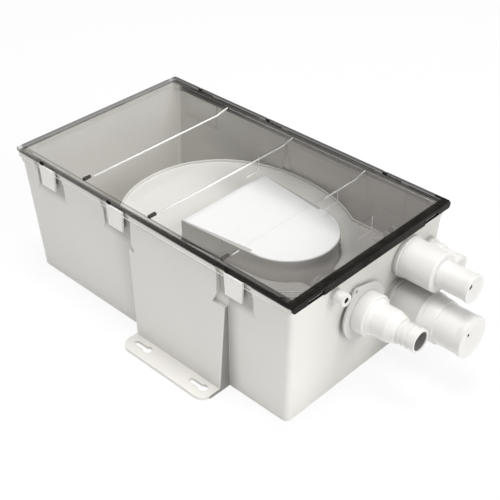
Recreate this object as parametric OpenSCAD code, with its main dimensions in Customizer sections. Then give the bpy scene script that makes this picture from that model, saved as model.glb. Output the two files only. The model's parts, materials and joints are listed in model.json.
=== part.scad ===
// Shower sump pump: a tub that collects shower water, with a float-switched pump under a clear lid.
// The origin is the centre of the tub's underside, +X points to the ports and +Z is up. Millimetres.

/* [Sump box] */
// Length of the lid, which sets the length of the box
lid_l = 340; // [334:1:352]
// Width of the lid, which sets the width of the box
lid_w = 199.2; // [197:0.2:206]
// Height of the lid's top above the underside
total_h = 129.4; // [128:0.2:136]
// Thickness of the box's walls
wall_t = 2.5; // [2:0.1:3]
// Thickness of the box's floor
floor_t = 3; // [2.4:0.1:4]
// How far each end wall leans out between floor and rim
end_lean = 7.4; // [5:0.2:8.6]
// How far each side wall leans out between floor and rim
side_lean = 5; // [3.6:0.2:6]
// Radius of the box's upright corners
corner_r = 5; // [3:0.5:7]

/* [Side bulges and feet] */
// Length of a side bulge at the floor
bulge_l = 106; // [100:1:110]
// How far a side bulge stands out of the wall at the floor
bulge_out = 11.8; // [10:0.2:13]
// Width of a foot flange
foot_w = 20; // [18:0.5:24]
// Thickness of a foot flange
foot_t = 3; // [2.4:0.1:4]
// Distance between the two keyholes of a foot
keyhole_pitch = 70; // [64:1:74]
// Radius of a keyhole's round end
keyhole_r = 4.2; // [3.6:0.1:5]
// Radius of a keyhole's narrow end
keyhole_slot_r = 2.4; // [2:0.1:2.8]

/* [Lid] */
// Thickness of the lid's plate
lid_t = 2.4; // [2:0.1:3]
// Thickness of the seal under the lid's edge
seal_t = 1; // [0.8:0.1:1.4]
// Distance between the lid's cross ribs
rib_gap = 86; // [82:1:88]
// Depth of the lid's cross ribs
rib_depth = 3; // [2:0.2:4]
// Depth of the skirt at the lid's port end, below its top
skirt_depth = 7.6; // [7:0.2:8.6]

/* [Snap clips] */
// Width of a clip at its top
clip_w = 20; // [18:0.5:22]
// Width of a clip at its foot
clip_foot_w = 16.5; // [15:0.5:18]
// Thickness of a clip
clip_t = 2.2; // [1.8:0.1:2.4]

/* [Discharge fitting] */
// Distance from the lid's far edge to the discharge's axis
discharge_in = 109.6; // [107:0.2:112]
// Distance from the lid's top down to the discharge's axis
discharge_drop = 54.8; // [53.4:0.2:57]
// Diameter of the discharge bore
discharge_bore_d = 17; // [15:0.5:18]
// Diameter of the smooth step, for the larger hose
discharge_step_d = 28.6; // [26:0.2:30]
// Diameter at the tip, for the smaller hose
discharge_tip_d = 20.6; // [20:0.2:22]

/* [Inlet fittings] */
// Hose diameter of the large inlet
large_d = 38.1; // [36:0.1:39]
// Hose diameter of the medium inlet
medium_d = 25.4; // [24:0.1:26.5]
// Hose diameter of the small inlet
small_d = 19; // [18:0.1:20]

/* [Pump] */
// Radius of the pump's round end
pump_r = 45.5; // [45:0.1:47]
// Width of the pump's flat end
pump_w = 104; // [98:1:106]
// Distance from the motor's axis back to the pump's flat end
pump_back = 77; // [72:0.5:80]
// Distance from the lid's top down to the pump's top
pump_drop = 24.9; // [24:0.1:27]
// Radius of the motor's can
motor_r = 22.4; // [20:0.2:22.6]
// Radius of the impeller
impeller_r = 17.5; // [15:0.1:17.6]
// Radius of the motor's shaft
shaft_r = 2.5; // [2:0.1:3]

/* [Strainer shroud] */
// Distance from the lid's side edge in to the shroud's deck
shroud_side_in = 5.1; // [4.8:0.1:10]
// Distance from the lid's top down to the shroud's deck
deck_drop = 45.4; // [44.4:0.2:48]
// Number of strainer slots round the shroud
slot_count = 36; // [24:1:44]

/* [Hidden] */
$fn = 64;

// One overrun for every cut, a thin slice for blends, and the clearances of fits
overrun = 1;
slice = 0.01;
run_gap = 0.05;
seat_gap = 0.3;
blend_fn = 32;

// Colours
white = [0.90, 0.89, 0.87];
smoke = [0.45, 0.43, 0.41, 0.5];
black = [0.12, 0.12, 0.12];
steel = [0.70, 0.70, 0.72];
grey = [0.72, 0.71, 0.70];

// Box: the rim lies under the seal, and the walls lean from the rim down to the floor
rim_z = total_h - lid_t - seal_t;
lid_z = total_h - lid_t;
end_lip = 1.6;
side_lip = 2.6;
lip_inset = 0.3;
rim_hl = lid_l / 2 - end_lip;
rim_hw = lid_w / 2 - side_lip;
floor_hl = rim_hl - end_lean;
floor_hw = rim_hw - side_lean;
lip_h = 4.5;
band_h = 10;
band_inset = 0.7;
lip_corner_r = 4;
lip_end_x = lid_l / 2 - lip_inset - end_lip / 2;
function wall_hl(z) = floor_hl + end_lean * z / rim_z;
function wall_hw(z) = floor_hw + side_lean * z / rim_z;

// Side bulge: it spreads along the box as it rises, and draws in to the wall at the rim
bulge_x = 43;
bulge_spread_left = 10;
bulge_spread_right = 5.5;
bulge_rim_out = 1;
bulge_r = 2;
bulge_x0 = bulge_x - bulge_l / 2;
bulge_x1 = bulge_x + bulge_l / 2;
bulge_hw = floor_hw + bulge_out;

// Foot flange and its keyholes
foot_hw = bulge_hw + foot_w;
foot_corner_r = 11;
foot_neck_r = 5;
keyhole_share = 0.41;
keyhole_y = bulge_hw + foot_w * keyhole_share;
keyhole_shift = 6;
keyhole_x = bulge_x + keyhole_shift;
keyhole_slot_l = 14;

// Clips: a rocking lever on two trunnions behind it, with a finger in a notch of the lid's edge
clip_xs = [-124, -31, 110];
clip_proud = 0.4;
clip_foot_drop = 24.9;
clip_top_drop = 2.9;
clip_pivot_drop = 20.4;
clip_pivot_in = 1.5;
clip_z0 = total_h - clip_foot_drop;
clip_top = total_h - clip_top_drop;
clip_y1 = lid_w / 2 + clip_proud;
clip_y0 = clip_y1 - clip_t;
clip_pivot_y = clip_y0 - clip_pivot_in;
clip_pivot_z = total_h - clip_pivot_drop;
clip_edge = 0.6;
trunnion_r = 0.8;
trunnion_l = 2.7;
socket_gap = 0.1;
clip_ear_w = 7;
clip_ear_h = 2.4;
clip_ear_back = 0.8;
lug_gap = 0.5;
lug_w = 2.5;
lug_h = 3.4;
lug_front = 1;
finger_x = -8;
finger_w = 2.8;
finger_rise = 1.7;
finger_t = 1.1;
finger_in = 0.5;
notch_w = 4;
notch_depth = 1.6;

// Shallow pocket round each clip, and the pad that keeps the wall's thickness behind it
pocket_shift = -1;
pocket_depth = 1.9;
pocket_w = 38;
pocket_foot_w = 47;
pocket_mid_drop = 21.4;
pocket_bend_drop = 29.4;
pocket_foot_drop = 39.4;
pocket_pad = 2.2;
pocket_pad_side = 2;
pad_top_drop = 8.9;
pad_skin = 0.3;
fill_skin = 0.6;
fill_share = 0.6;
pocket_z = total_h - pocket_mid_drop;
pocket_half_h = pocket_foot_drop - pocket_mid_drop;
pocket_r = (pow(pocket_half_h, 2) + pow(pocket_depth, 2)) / (2 * pocket_depth);
pocket_y = wall_hw(pocket_z) - pocket_depth;
pad_outer_y = wall_hw(total_h - pocket_foot_drop) - pad_skin;
fill_outer_y = rim_hw + bulge_rim_out - fill_skin;
fill_x0 = bulge_x0 - fill_share * bulge_spread_left;
fill_x1 = bulge_x1 + fill_share * bulge_spread_right;

// White tabs of the rim that show in the windows of the lid's skirt
tab_w = 14;
tab_t = 0.5;
tab_h = 1.9;
tab_drop = 5.4;
window_in = 26.6;
skirt_window_y = lid_w / 2 - window_in;

// Ports: every fitting seats on a boss whose faces are square to X
port_inset = 1.9;
port_x = lid_l / 2 - port_inset;
boss_t = 9;
gasket_t = 0.8;
gasket_in = 0.8;
flange_t = 1.6;
nut_t = 5;
thread_gap = 0.15;
hole_gap = 0.2;
spigot_l = 18;
boss_margin = 2;
nut_x = port_x - boss_t - nut_t;
spigot_x = port_x - spigot_l;
flange_x = port_x + gasket_t;

// Discharge fitting, with lengths counted from its flange
discharge_r = discharge_bore_d / 2;
step_r = discharge_step_d / 2;
tip_r = discharge_tip_d / 2;
discharge_flange_r = 26.1;
discharge_collar_r = 18.7;
discharge_thread_r = 13;
discharge_collar_l = 13.3;
discharge_step_l = 31;
discharge_cone_l = 39.5;
discharge_l = 57.5;
foot_flare = 2.3;
discharge_foot_r = step_r + foot_flare;
discharge_foot_l = 4;
barb_drop = 0.9;
barb_l = 5;
collar_edge = 0.8;
tip_band = 4;
lug_angle = 115.5;
lug_place_r = 29.2;
lug_r = 3.4;
lug_hole_r = 1.6;
screw_head_r = 1.5;
screw_sink = 0.6;
screw_l = 5;
pilot_r = 1;
discharge_nut_r = 20;
hose_r = 10;
hose_wall = 2.4;
hose_fit = 0.05;
discharge_y = lid_w / 2 - discharge_in;
discharge_z = total_h - discharge_drop;
pump_clear = 48;
pump_x1 = lid_l / 2 - pump_clear;
nozzle_l = 14;
nozzle_x = pump_x1 + nozzle_l;
inner_spigot_l = 9;
inner_spigot_x = spigot_x - inner_spigot_l;

// Inlets: name, place, thread, base and ring radii, and lengths counted from the flange
wall_of_inlet = 2.1;
dish_rim = 2.5;
dish_l = 4;
dish_hole_r = 1.4;
dish_hole_l = 2.4;
dish_floor_r = 2.2;
web_t = 2.5;
land_drop = 0.6;
large_in = 58.1;
large_drop = 73.4;
large_y = lid_w / 2 - large_in;
large_z = total_h - large_drop;
large_ring_r = 23;
large_base_r = 21.5;
large_base_l = 35.8;
large_collar_r = 20.6;
large_collar_end_r = 19.8;
large_collar_l = 46.6;
large_l = 73.6;
groove_l = 1.2;
groove_t = 1;
large_nut_r = 22.6;
medium_in = 53.6;
medium_drop = 29.9;
medium_y = lid_w / 2 - medium_in;
medium_z = total_h - medium_drop;
medium_ring_r = 19;
medium_base_r = 17.9;
medium_l = 66.6;
medium_base_l = 35.9;
medium_nut_r = 19.2;
small_in = 22.4;
small_drop = 41;
small_y = lid_w / 2 - small_in;
small_z = total_h - small_drop;
small_ring_r = 12.4;
small_base_r = 11;
small_l = 33;
small_base_l = 14;
small_nut_r = 13;
ring_t = 3.2;

// Check flap behind each inlet: it hangs from a pin in the valve ring's two ears
flap_t = 2;
flap_over = 0.5;
flap_pin_r = 0.9;
flap_hub_r = 1.7;
flap_hub_l = 7;
flap_neck_w = 5;
flap_rise = 2.4;
ring_wall = 2;
ring_l = 2.6;
ear_t = 2;
ear_r = 2.1;
ear_gap = 0.3;
ear_bite = 0.9;
flap_x1 = spigot_x - seat_gap;
flap_x0 = flap_x1 - flap_t;
flap_pin_x = (flap_x0 + flap_x1) / 2;
ring_back = 0.9;
valve_ring_x = spigot_x + ring_back;

// Cable gland stub, empty
gland_in = 147.2;
gland_drop = 17.4;
gland_y = lid_w / 2 - gland_in;
gland_z = total_h - gland_drop;
gland_r = 5.5;
gland_bore_r = 2.5;
gland_l = 12;
gland_x1 = port_x + gland_l;
gland_x0 = port_x - boss_t;
gland_collar_r = 6.6;
gland_collar_l = 1.2;
gland_spigot_r = 4.2;

// Pump: from above a half round towards the ports, with sides that spread to a flat end behind
pump_cx = pump_x1 - pump_r;
pump_x0 = pump_cx - pump_back;
pump_top = total_h - pump_drop;
pump_corner = sqrt(pow(pump_w / 2, 2) + pow(pump_back, 2));
pump_lean = acos(pump_r / pump_corner) - atan(2 * pump_back / pump_w);
housing_t = 2.5;
label_t = 0.5;
label_inset = 0.8;
label_step = 3.1;
base_h = 9;
base_plate_t = 3;
base_z = floor_t;
casing_z = base_z + base_h;
housing_top = pump_top - label_t;
base_slot_w = 3;
base_slot_h = 4;
base_slot_pitch = 9;
eye_r = 10;
vent_r = 4;
housing_rib_w = 2.4;
housing_rib_out = 0.9;
housing_rib_angles = [27];
housing_rib_top_gap = 3;

// Impeller casing, riser and outlet nozzle
casing_wall = 1.8;
casing_gap = 1.8;
casing_in_r = impeller_r + casing_gap;
casing_r = casing_in_r + casing_wall;
casing_floor_t = 2;
chamber_h = 15;
casing_top_t = 4;
casing_top = casing_z + casing_floor_t + chamber_h + casing_top_t;
riser_r = 10;
riser_bore_r = 7.6;
riser_wall_gap = 0.5;
riser_x = pump_cx + sqrt(pow(pump_r - housing_t, 2) - pow(discharge_y, 2)) - riser_r - riser_wall_gap;
riser_z = casing_z + riser_r;

// Impeller, with vanes that curve backwards
impeller_gap = 1;
vane_count = 6;
vane_h = 8;
vane_t = 1.8;
disc_t = 2;
hub_r = 5.5;
vane_curve_share = 0.62;
impeller_z = casing_z + casing_floor_t + impeller_gap;
disc_z = impeller_z + vane_h;

// Motor
can_t = 1.2;
can_gap = 0.2;
can_z = casing_top;
cap_t = 3;
cap_room = 7.5;
motor_h = housing_top - housing_t - cap_room - cap_t - casing_top;
motor_top = can_z + motor_h;
cap_boss_h = 5;
bearing_r = 6;
bearing_h = 4;
seal_r = 6;
seal_h = 3;
magnet_t = 3;
magnet_h = 0.586 * motor_h;
magnet_lift = 0.19 * motor_h;
magnet_slot_w = 14;
armature_gap = 0.8;
armature_r = motor_r - can_t - can_gap - magnet_t - armature_gap;
armature_h = 0.448 * motor_h;
armature_lift = 0.2586 * motor_h;
armature_slots = 7;
armature_slot_r = 2.4;
armature_neck_w = 1.6;
commutator_r = 7;
commutator_h = 0.138 * motor_h;
brush_gap = 0.3;
brush_l = 8;
brush_w = 4;
brush_h = 0.086 * motor_h;
brush_lift = 0.026 * motor_h;
shaft_rise = 1;

// Float, which swings up on a pin held by two posts of the base
float_room = pump_back - housing_t - motor_r;
float_x0 = pump_x0 + housing_t + 0.134 * float_room;
float_l = 0.422 * float_room;
float_pivot_x = pump_x0 + housing_t + 0.672 * float_room;
float_pivot_lift = 20;
float_pivot_z = casing_z + float_pivot_lift;
float_half_w = 22;
float_bottom_gap = 2.2;
float_h = 18;
float_arm_w = 10;
float_arm_h = 5;
float_hub_r = 4;
float_pin_r = 1.5;
float_post_w = 6;
float_post_t = 5;
float_post_y = 26;
switch_l = 16;
switch_half_w = 9;
switch_h = 20;
switch_lift = 37;
switch_z = casing_z + switch_lift;

// Strainer shroud: an oval deck on a slotted skirt, with two screw ears towards the ports
shroud_centre_in = 159;
shroud_right_in = 38;
shroud_cx = lid_l / 2 - shroud_centre_in;
shroud_left = 109;
shroud_right = shroud_centre_in - shroud_right_in;
shroud_half_w = lid_w / 2 - shroud_side_in;
deck_top = total_h - deck_drop;
oval_power = 2.1;
oval_steps = 72;
deck_t = 2.5;
deck_rim_h = 2;
deck_rim_w = 1.6;
skirt_inset = 6.5;
skirt_t = 2;
pump_hole_gap = 1.2;
ear_in = 46;
ear_side_in = 28.5;
ear_root_in = 85;
ear_x = lid_l / 2 - ear_in;
ear_y = shroud_half_w - ear_side_in;
shroud_ear_r = 8;
ear_root_x = lid_l / 2 - ear_root_in;
post_r = 4.5;
slot_w = 2.4;
slot_z0 = 8;
slot_top_gap = 22;
slot_z1 = deck_top - slot_top_gap;
slot_start = 60;
slot_reach = 80;
clamp_arch_gap = 0.8;
knob_r = 4.6;
knob_h = 2.6;
knob_rim = 1.2;
knob_shank_r = 1.8;
knob_shank_l = 9;
knob_dish = 1;

// Hose clamps
clamp_w = 5;
clamp_t = 1;
clamp_ear_h = 3;
clamp_ear_w = 3.5;
clamp_inset = 1.5;
hose_set = 2.5;
hose_x0 = pump_x1 + hose_set;
hose_x1 = spigot_x - seat_gap;

// Lid details
lip_gap = 0.7;
lip_t = 1.8;
lip_depth = 5;
lip_chamfer = 13;
band_w = 4;
rib_t = 1.8;
rib_near = 83;
rib_far = 92;
rib_chamfer = 15;
fin_t = 1.8;
fin_l = 18;
fin_clear = 6.5;
fin_bottom = pump_top + fin_clear;
fin_reaches = [45, 54, 40];
fin_step = 49;
skirt_gap = 0.5;
skirt_x0 = lid_l / 2 - end_lip / 2 + skirt_gap;
skirt_t_x = 1.8;
skirt_corner_depth = 6.4;
skirt_corner_r = 3;
skirt_window_w = 18;
skirt_window_top = 3;
skirt_window_h = 2.6;
lid_corner_r = 2.5;
seal_w = 2.3;
seal_gap = 0.4;

// Rounded rectangle centred on the origin
module rounded_rect(l, w, r) {
    square([l - 2 * r, w], center = true);
    square([l, w - 2 * r], center = true);
    for (sx = [-1, 1], sy = [-1, 1])
        translate([sx * (l / 2 - r), sy * (w / 2 - r)]) circle(r = r);
}

// The same shape on both long sides
module both_sides() {
    children();
    mirror([0, 1, 0]) children();
}

// A cylinder along X from x0 to x1, round the line through y and z
module rod_x(x0, x1, y, z, r) {
    translate([x0, y, z]) rotate([0, 90, 0]) cylinder(r = r, h = x1 - x0);
}

// A tube along X
module tube_x(x0, x1, y, z, r_in, r_out) {
    difference() {
        rod_x(x0, x1, y, z, r_out);
        rod_x(x0 - overrun, x1 + overrun, y, z, r_in);
    }
}

// A hex nut along X with a round bore
module hex_nut(y, z, r, bore) {
    difference() {
        translate([nut_x, y, z]) rotate([0, 90, 0]) cylinder(r = r, h = nut_t, $fn = 6);
        rod_x(nut_x - overrun, nut_x + nut_t + overrun, y, z, bore);
    }
}

// A leaning tub from z0 to z1, with half lengths and half widths at both levels
module leaning_block(z0, z1, hl0, hw0, hl1, hw1, r) {
    hull()
        for (end = [[z0, hl0, hw0], [z1 - slice, hl1, hw1]], sx = [-1, 1], sy = [-1, 1])
            translate([sx * (end[1] - r), sy * (end[2] - r), end[0]])
                cylinder(r = r, h = slice, $fn = blend_fn);
}

// Half of a side bulge, drawn in by inset on the sides that meet the air
module bulge_block(z0, z1, inset, r) {
    share0 = z0 / rim_z;
    share1 = z1 / rim_z;
    hull()
        for (end = [[z0, share0], [z1 - slice, share1]]) {
            x0 = bulge_x0 - bulge_spread_left * end[1] + inset;
            x1 = bulge_x1 + bulge_spread_right * end[1] - inset;
            y1 = bulge_hw + (rim_hw + bulge_rim_out - bulge_hw) * end[1] - inset;
            translate([x0, -y1 + r, end[0]]) cube([x1 - x0, y1 - r, slice]);
            for (x = [x0 + r, x1 - r])
                translate([x, -y1 + r, end[0]]) cylinder(r = r, h = slice, $fn = blend_fn);
        }
}

// Foot flange on one side, with rounded outer corners
module foot_plate() {
    linear_extrude(foot_t) {
        translate([bulge_x0, -foot_hw + foot_corner_r])
            square([bulge_l, foot_w + wall_t - foot_corner_r]);
        translate([bulge_x0 + foot_corner_r, -foot_hw])
            square([bulge_l - 2 * foot_corner_r, foot_corner_r]);
        for (x = [bulge_x0 + foot_corner_r, bulge_x1 - foot_corner_r])
            translate([x, -foot_hw + foot_corner_r]) circle(r = foot_corner_r);
    }
}

// Keyholes of one foot: a round end for the screw's head and a narrow end that grips its shank
module foot_keyholes() {
    for (side = [-1, 1])
        translate([keyhole_x + side * keyhole_pitch / 2, -keyhole_y, -overrun]) {
            cylinder(r = keyhole_r, h = foot_t + 2 * overrun);
            translate([-keyhole_slot_l, 0, 0]) cylinder(r = keyhole_slot_r, h = foot_t + 2 * overrun);
            translate([-keyhole_slot_l, -keyhole_slot_r, 0])
                cube([keyhole_slot_l, 2 * keyhole_slot_r, foot_t + 2 * overrun]);
        }
}

// Outline of a clip's pocket seen from the side, widened by side and ending at top
module pocket_outline(side, top) {
    bend = total_h - pocket_bend_drop;
    foot = total_h - pocket_foot_drop - side;
    half = pocket_w / 2 + side;
    half_foot = pocket_foot_w / 2 + side;
    polygon([[-half, top], [half, top], [half, bend], [half_foot, foot], [-half_foot, foot], [-half, bend]]);
}

// A pocket's dished bottom, cut from a lying cylinder between two planes across the box
module pocket(x, extra, side, top, y_in, y_out) {
    intersection() {
        rod_x(x - pocket_foot_w, x + pocket_foot_w, -pocket_y - pocket_r, pocket_z, pocket_r + extra);
        translate([x + pocket_shift, -y_in, 0]) rotate([90, 0, 0])
            linear_extrude(y_out - y_in) pocket_outline(side, top);
    }
}

// Pad behind a pocket; where the pocket runs into a bulge, the pad reaches to the bulge's skin
module pocket_back(x) {
    top = total_h - pad_top_drop;
    y_in = pocket_y - pocket_pad - overrun;
    pocket(x, pocket_pad, pocket_pad_side, top, y_in, pad_outer_y);
    intersection() {
        pocket(x, pocket_pad, pocket_pad_side, top, y_in, fill_outer_y);
        translate([fill_x0, -fill_outer_y - overrun, floor_t])
            cube([fill_x1 - fill_x0, fill_outer_y, rim_z]);
    }
}

// Rim of the box: the lip under the lid and, on the long sides, a second step below it
module rim_outside() {
    translate([0, 0, rim_z - lip_h])
        linear_extrude(lip_h)
            rounded_rect(2 * lip_end_x, lid_w - 2 * lip_inset, lip_corner_r);
    translate([0, 0, rim_z - band_h])
        linear_extrude(band_h)
            rounded_rect(2 * wall_hl(rim_z - band_h), lid_w - 2 * side_lip + 2 * band_inset,
                lip_corner_r);
    for (side = [-1, 1])
        translate([lip_end_x - overrun, side * skirt_window_y - tab_w / 2, total_h - tab_drop])
            cube([tab_t + overrun, tab_w, tab_h]);
}

// Lugs in a pocket that hold one clip's trunnions
module clip_lugs(x) {
    y_in = pocket_y - pocket_pad / 2;
    y_out = clip_pivot_y + lug_front;
    difference() {
        for (side = [-1, 1])
            translate([x + side * (clip_ear_w / 2 + lug_gap + lug_w / 2) - lug_w / 2, -y_out,
                    clip_pivot_z - lug_h / 2])
                cube([lug_w, y_out - y_in, lug_h]);
        rod_x(x - clip_w / 2, x + clip_w / 2, -clip_pivot_y, clip_pivot_z, trunnion_r + socket_gap);
    }
}

// Radius of an inlet's thread
function thread_r(d) = d / 2 - land_drop;

module port_bosses() {
    for (p = [[discharge_y, discharge_z, discharge_collar_r], [large_y, large_z, large_nut_r],
            [medium_y, medium_z, medium_nut_r], [small_y, small_z, small_nut_r],
            [gland_y, gland_z, gland_collar_r]])
        rod_x(port_x - boss_t, port_x, p[0], p[1], p[2]);
}

module port_holes() {
    for (p = [[discharge_y, discharge_z, discharge_thread_r], [large_y, large_z, thread_r(large_d)],
            [medium_y, medium_z, thread_r(medium_d)], [small_y, small_z, thread_r(small_d)],
            [gland_y, gland_z, gland_spigot_r]])
        rod_x(port_x - boss_t - overrun, port_x + overrun, p[0], p[1], p[2] + hole_gap);
    for (turn = [0, 180]) {
        a = lug_angle + turn;
        rod_x(port_x - screw_l, port_x + overrun, discharge_y + lug_place_r * cos(a),
            discharge_z + lug_place_r * sin(a), pilot_r + hole_gap);
    }
}

// Pads on the end wall for the discharge flange's two screw lugs
module lug_bosses() {
    for (turn = [0, 180]) {
        a = lug_angle + turn;
        rod_x(port_x - boss_t, port_x, discharge_y + lug_place_r * cos(a),
            discharge_z + lug_place_r * sin(a), lug_r);
    }
}

// Shell of the box: leaning walls, hollow bulges and the rim
module box_shell() {
    difference() {
        union() {
            leaning_block(0, rim_z, floor_hl, floor_hw, rim_hl, rim_hw, corner_r);
            both_sides() bulge_block(0, rim_z, 0, bulge_r);
            rim_outside();
        }
        leaning_block(floor_t, rim_z + overrun, wall_hl(floor_t) - wall_t,
            wall_hw(floor_t) - wall_t, wall_hl(rim_z + overrun) - wall_t,
            wall_hw(rim_z + overrun) - wall_t, corner_r - wall_t / 2);
        both_sides() bulge_block(floor_t, rim_z - band_h, wall_t, bulge_r);
    }
}

module sump_box() {
    color(white)
        difference() {
            union() {
                difference() {
                    union() {
                        box_shell();
                        both_sides()
                            for (x = clip_xs) pocket_back(x);
                    }
                    both_sides()
                        for (x = clip_xs)
                            pocket(x, 0, 0, rim_z + overrun, pocket_y - overrun, bulge_hw + overrun);
                }
                both_sides() foot_plate();
                both_sides()
                    for (x = clip_xs) clip_lugs(x);
                port_bosses();
                lug_bosses();
                for (side = [-1, 1])
                    translate([ear_x, side * ear_y, floor_t / 2])
                        cylinder(r = post_r, h = deck_top - deck_t - floor_t / 2);
            }
            both_sides() foot_keyholes();
            port_holes();
            for (side = [-1, 1])
                translate([ear_x, side * ear_y, deck_top - deck_t - knob_shank_l])
                    cylinder(r = knob_shank_r + seat_gap, h = knob_shank_l + overrun);
        }
}

// Lid: its plate, the edge that rests on the seal, inner lip, ribs, fins and the port-end skirt
module lid_outline() {
    skirt_x = skirt_x0 + skirt_t_x;
    translate([(skirt_x - lid_l / 2) / 2, 0]) rounded_rect(skirt_x + lid_l / 2, lid_w, lid_corner_r);
}

module lip_outline(inset) {
    hl = wall_hl(rim_z) - wall_t - lip_gap - inset;
    hw = wall_hw(rim_z) - wall_t - lip_gap - inset;
    c = lip_chamfer;
    polygon([[-hl + c, -hw], [hl - c, -hw], [hl, -hw + c], [hl, hw - c],
        [hl - c, hw], [-hl + c, hw], [-hl, hw - c], [-hl, -hw + c]]);
}

module lid_rib(x) {
    translate([x + rib_t / 2, 0, lid_z]) rotate([90, 0, -90])
        linear_extrude(rib_t)
            polygon([[rib_near, 0], [rib_near, -rib_depth], [-rib_far + rib_chamfer, -rib_depth],
                [-rib_far, 0]]);
}

module lid_fin(x, y1) {
    translate([x - fin_t / 2, y1 - fin_l, fin_bottom]) cube([fin_t, fin_l, lid_z - fin_bottom]);
}

// Skirt over the port end: deepest in the middle, with a window near each rounded corner
module port_skirt() {
    w = lid_w / 2;
    window_in_y = skirt_window_y - skirt_window_w / 2;
    strip_top = total_h - skirt_window_top - skirt_window_h;
    translate([skirt_x0, 0, 0]) rotate([90, 0, 90])
        linear_extrude(skirt_t_x) {
            difference() {
                union() {
                    translate([-window_in_y, total_h - skirt_depth])
                        square([2 * window_in_y, skirt_depth - lid_t / 2]);
                    translate([-w, total_h - skirt_corner_depth])
                        square([2 * w, skirt_corner_depth - lid_t / 2]);
                }
                for (side = [-1, 1]) {
                    translate([side * skirt_window_y - skirt_window_w / 2, strip_top])
                        square([skirt_window_w, skirt_window_h]);
                    translate([side * w - skirt_corner_r, total_h - skirt_corner_depth - overrun])
                        square([2 * skirt_corner_r, overrun + skirt_corner_r]);
                }
            }
            for (side = [-1, 1])
                translate([side * (w - skirt_corner_r), total_h - skirt_corner_depth + skirt_corner_r])
                    circle(r = skirt_corner_r);
        }
}

module lid() {
    fin_xs = [0, rib_gap, rib_gap + fin_step];
    color(smoke)
        difference() {
            union() {
                translate([0, 0, lid_z]) linear_extrude(lid_t) lid_outline();
                translate([0, 0, lid_z - lip_depth])
                    linear_extrude(lip_depth)
                        difference() {
                            lip_outline(0);
                            lip_outline(lip_t);
                        }
                for (x = [-rib_gap, 0, rib_gap]) lid_rib(x);
                for (i = [0 : 2]) lid_fin(fin_xs[i], fin_reaches[i]);
                port_skirt();
            }
            both_sides()
                for (x = clip_xs)
                    translate([x + finger_x - notch_w / 2, -lid_w / 2 - overrun, lid_z - overrun])
                        cube([notch_w, overrun + notch_depth, lid_t + 2 * overrun]);
        }
}

module lid_seal() {
    outer_hl = rim_hl - wall_t + seal_gap + seal_w;
    outer_hw = rim_hw - wall_t + seal_gap + seal_w;
    color(black)
        translate([0, 0, rim_z])
            linear_extrude(seal_t)
                difference() {
                    rounded_rect(2 * outer_hl, 2 * outer_hw, corner_r);
                    rounded_rect(2 * (outer_hl - seal_w), 2 * (outer_hw - seal_w), corner_r - seal_w / 2);
                }
}

// Clip on the near side at x: a plate that narrows downwards, with an ear and two trunnions behind
// and a finger at its top
module clip(x) {
    depth = clip_pivot_in + clip_ear_back;
    color(white) {
        intersection() {
            translate([x + clip_w / 2, 0, 0]) rotate([90, 0, -90])
                linear_extrude(clip_w)
                    polygon([[clip_y1 - clip_edge, clip_z0], [clip_y1, clip_z0 + clip_edge],
                        [clip_y1, clip_top - clip_edge], [clip_y1 - clip_edge, clip_top],
                        [clip_y0, clip_top], [clip_y0, clip_z0 + clip_edge],
                        [clip_y0 + clip_edge, clip_z0]]);
            translate([x, 0, 0]) rotate([90, 0, 0])
                linear_extrude(clip_y1 + overrun)
                    polygon([[-clip_w / 2, clip_top], [clip_w / 2, clip_top],
                        [clip_foot_w / 2, clip_z0], [-clip_foot_w / 2, clip_z0]]);
        }
        translate([x - clip_ear_w / 2, -clip_y0 - clip_edge / 2, clip_pivot_z - clip_ear_h / 2])
            cube([clip_ear_w, depth + clip_edge / 2, clip_ear_h]);
        rod_x(x - clip_ear_w / 2 - trunnion_l, x + clip_ear_w / 2 + trunnion_l, -clip_pivot_y,
            clip_pivot_z, trunnion_r);
        translate([x + finger_x - finger_w / 2, -clip_y0 - finger_in - finger_t, clip_top - clip_edge])
            cube([finger_w, finger_t, clip_edge + finger_rise]);
    }
}

module clip_near_1() { clip(clip_xs[0]); }
module clip_near_2() { clip(clip_xs[1]); }
module clip_near_3() { clip(clip_xs[2]); }
module clip_far_1() { mirror([0, 1, 0]) clip(clip_xs[0]); }
module clip_far_2() { mirror([0, 1, 0]) clip(clip_xs[1]); }
module clip_far_3() { mirror([0, 1, 0]) clip(clip_xs[2]); }

// Turns a profile of [length, radius] points about the X direction through y and z, from x0
module turned_x(x0, y, z, profile) {
    translate([x0, y, z]) rotate([0, 90, 0]) rotate_extrude() polygon([for (p = profile) [p[1], p[0]]]);
}

// Screw lug of the discharge flange, joined to the round flange by lines that touch both circles
module flange_lug() {
    touch = acos((discharge_flange_r - lug_r) / lug_place_r);
    translate([lug_place_r, 0]) circle(r = lug_r);
    polygon([[discharge_flange_r * cos(touch), -discharge_flange_r * sin(touch)],
        [lug_place_r + lug_r * cos(touch), -lug_r * sin(touch)],
        [lug_place_r + lug_r * cos(touch), lug_r * sin(touch)],
        [discharge_flange_r * cos(touch), discharge_flange_r * sin(touch)]]);
}

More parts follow.
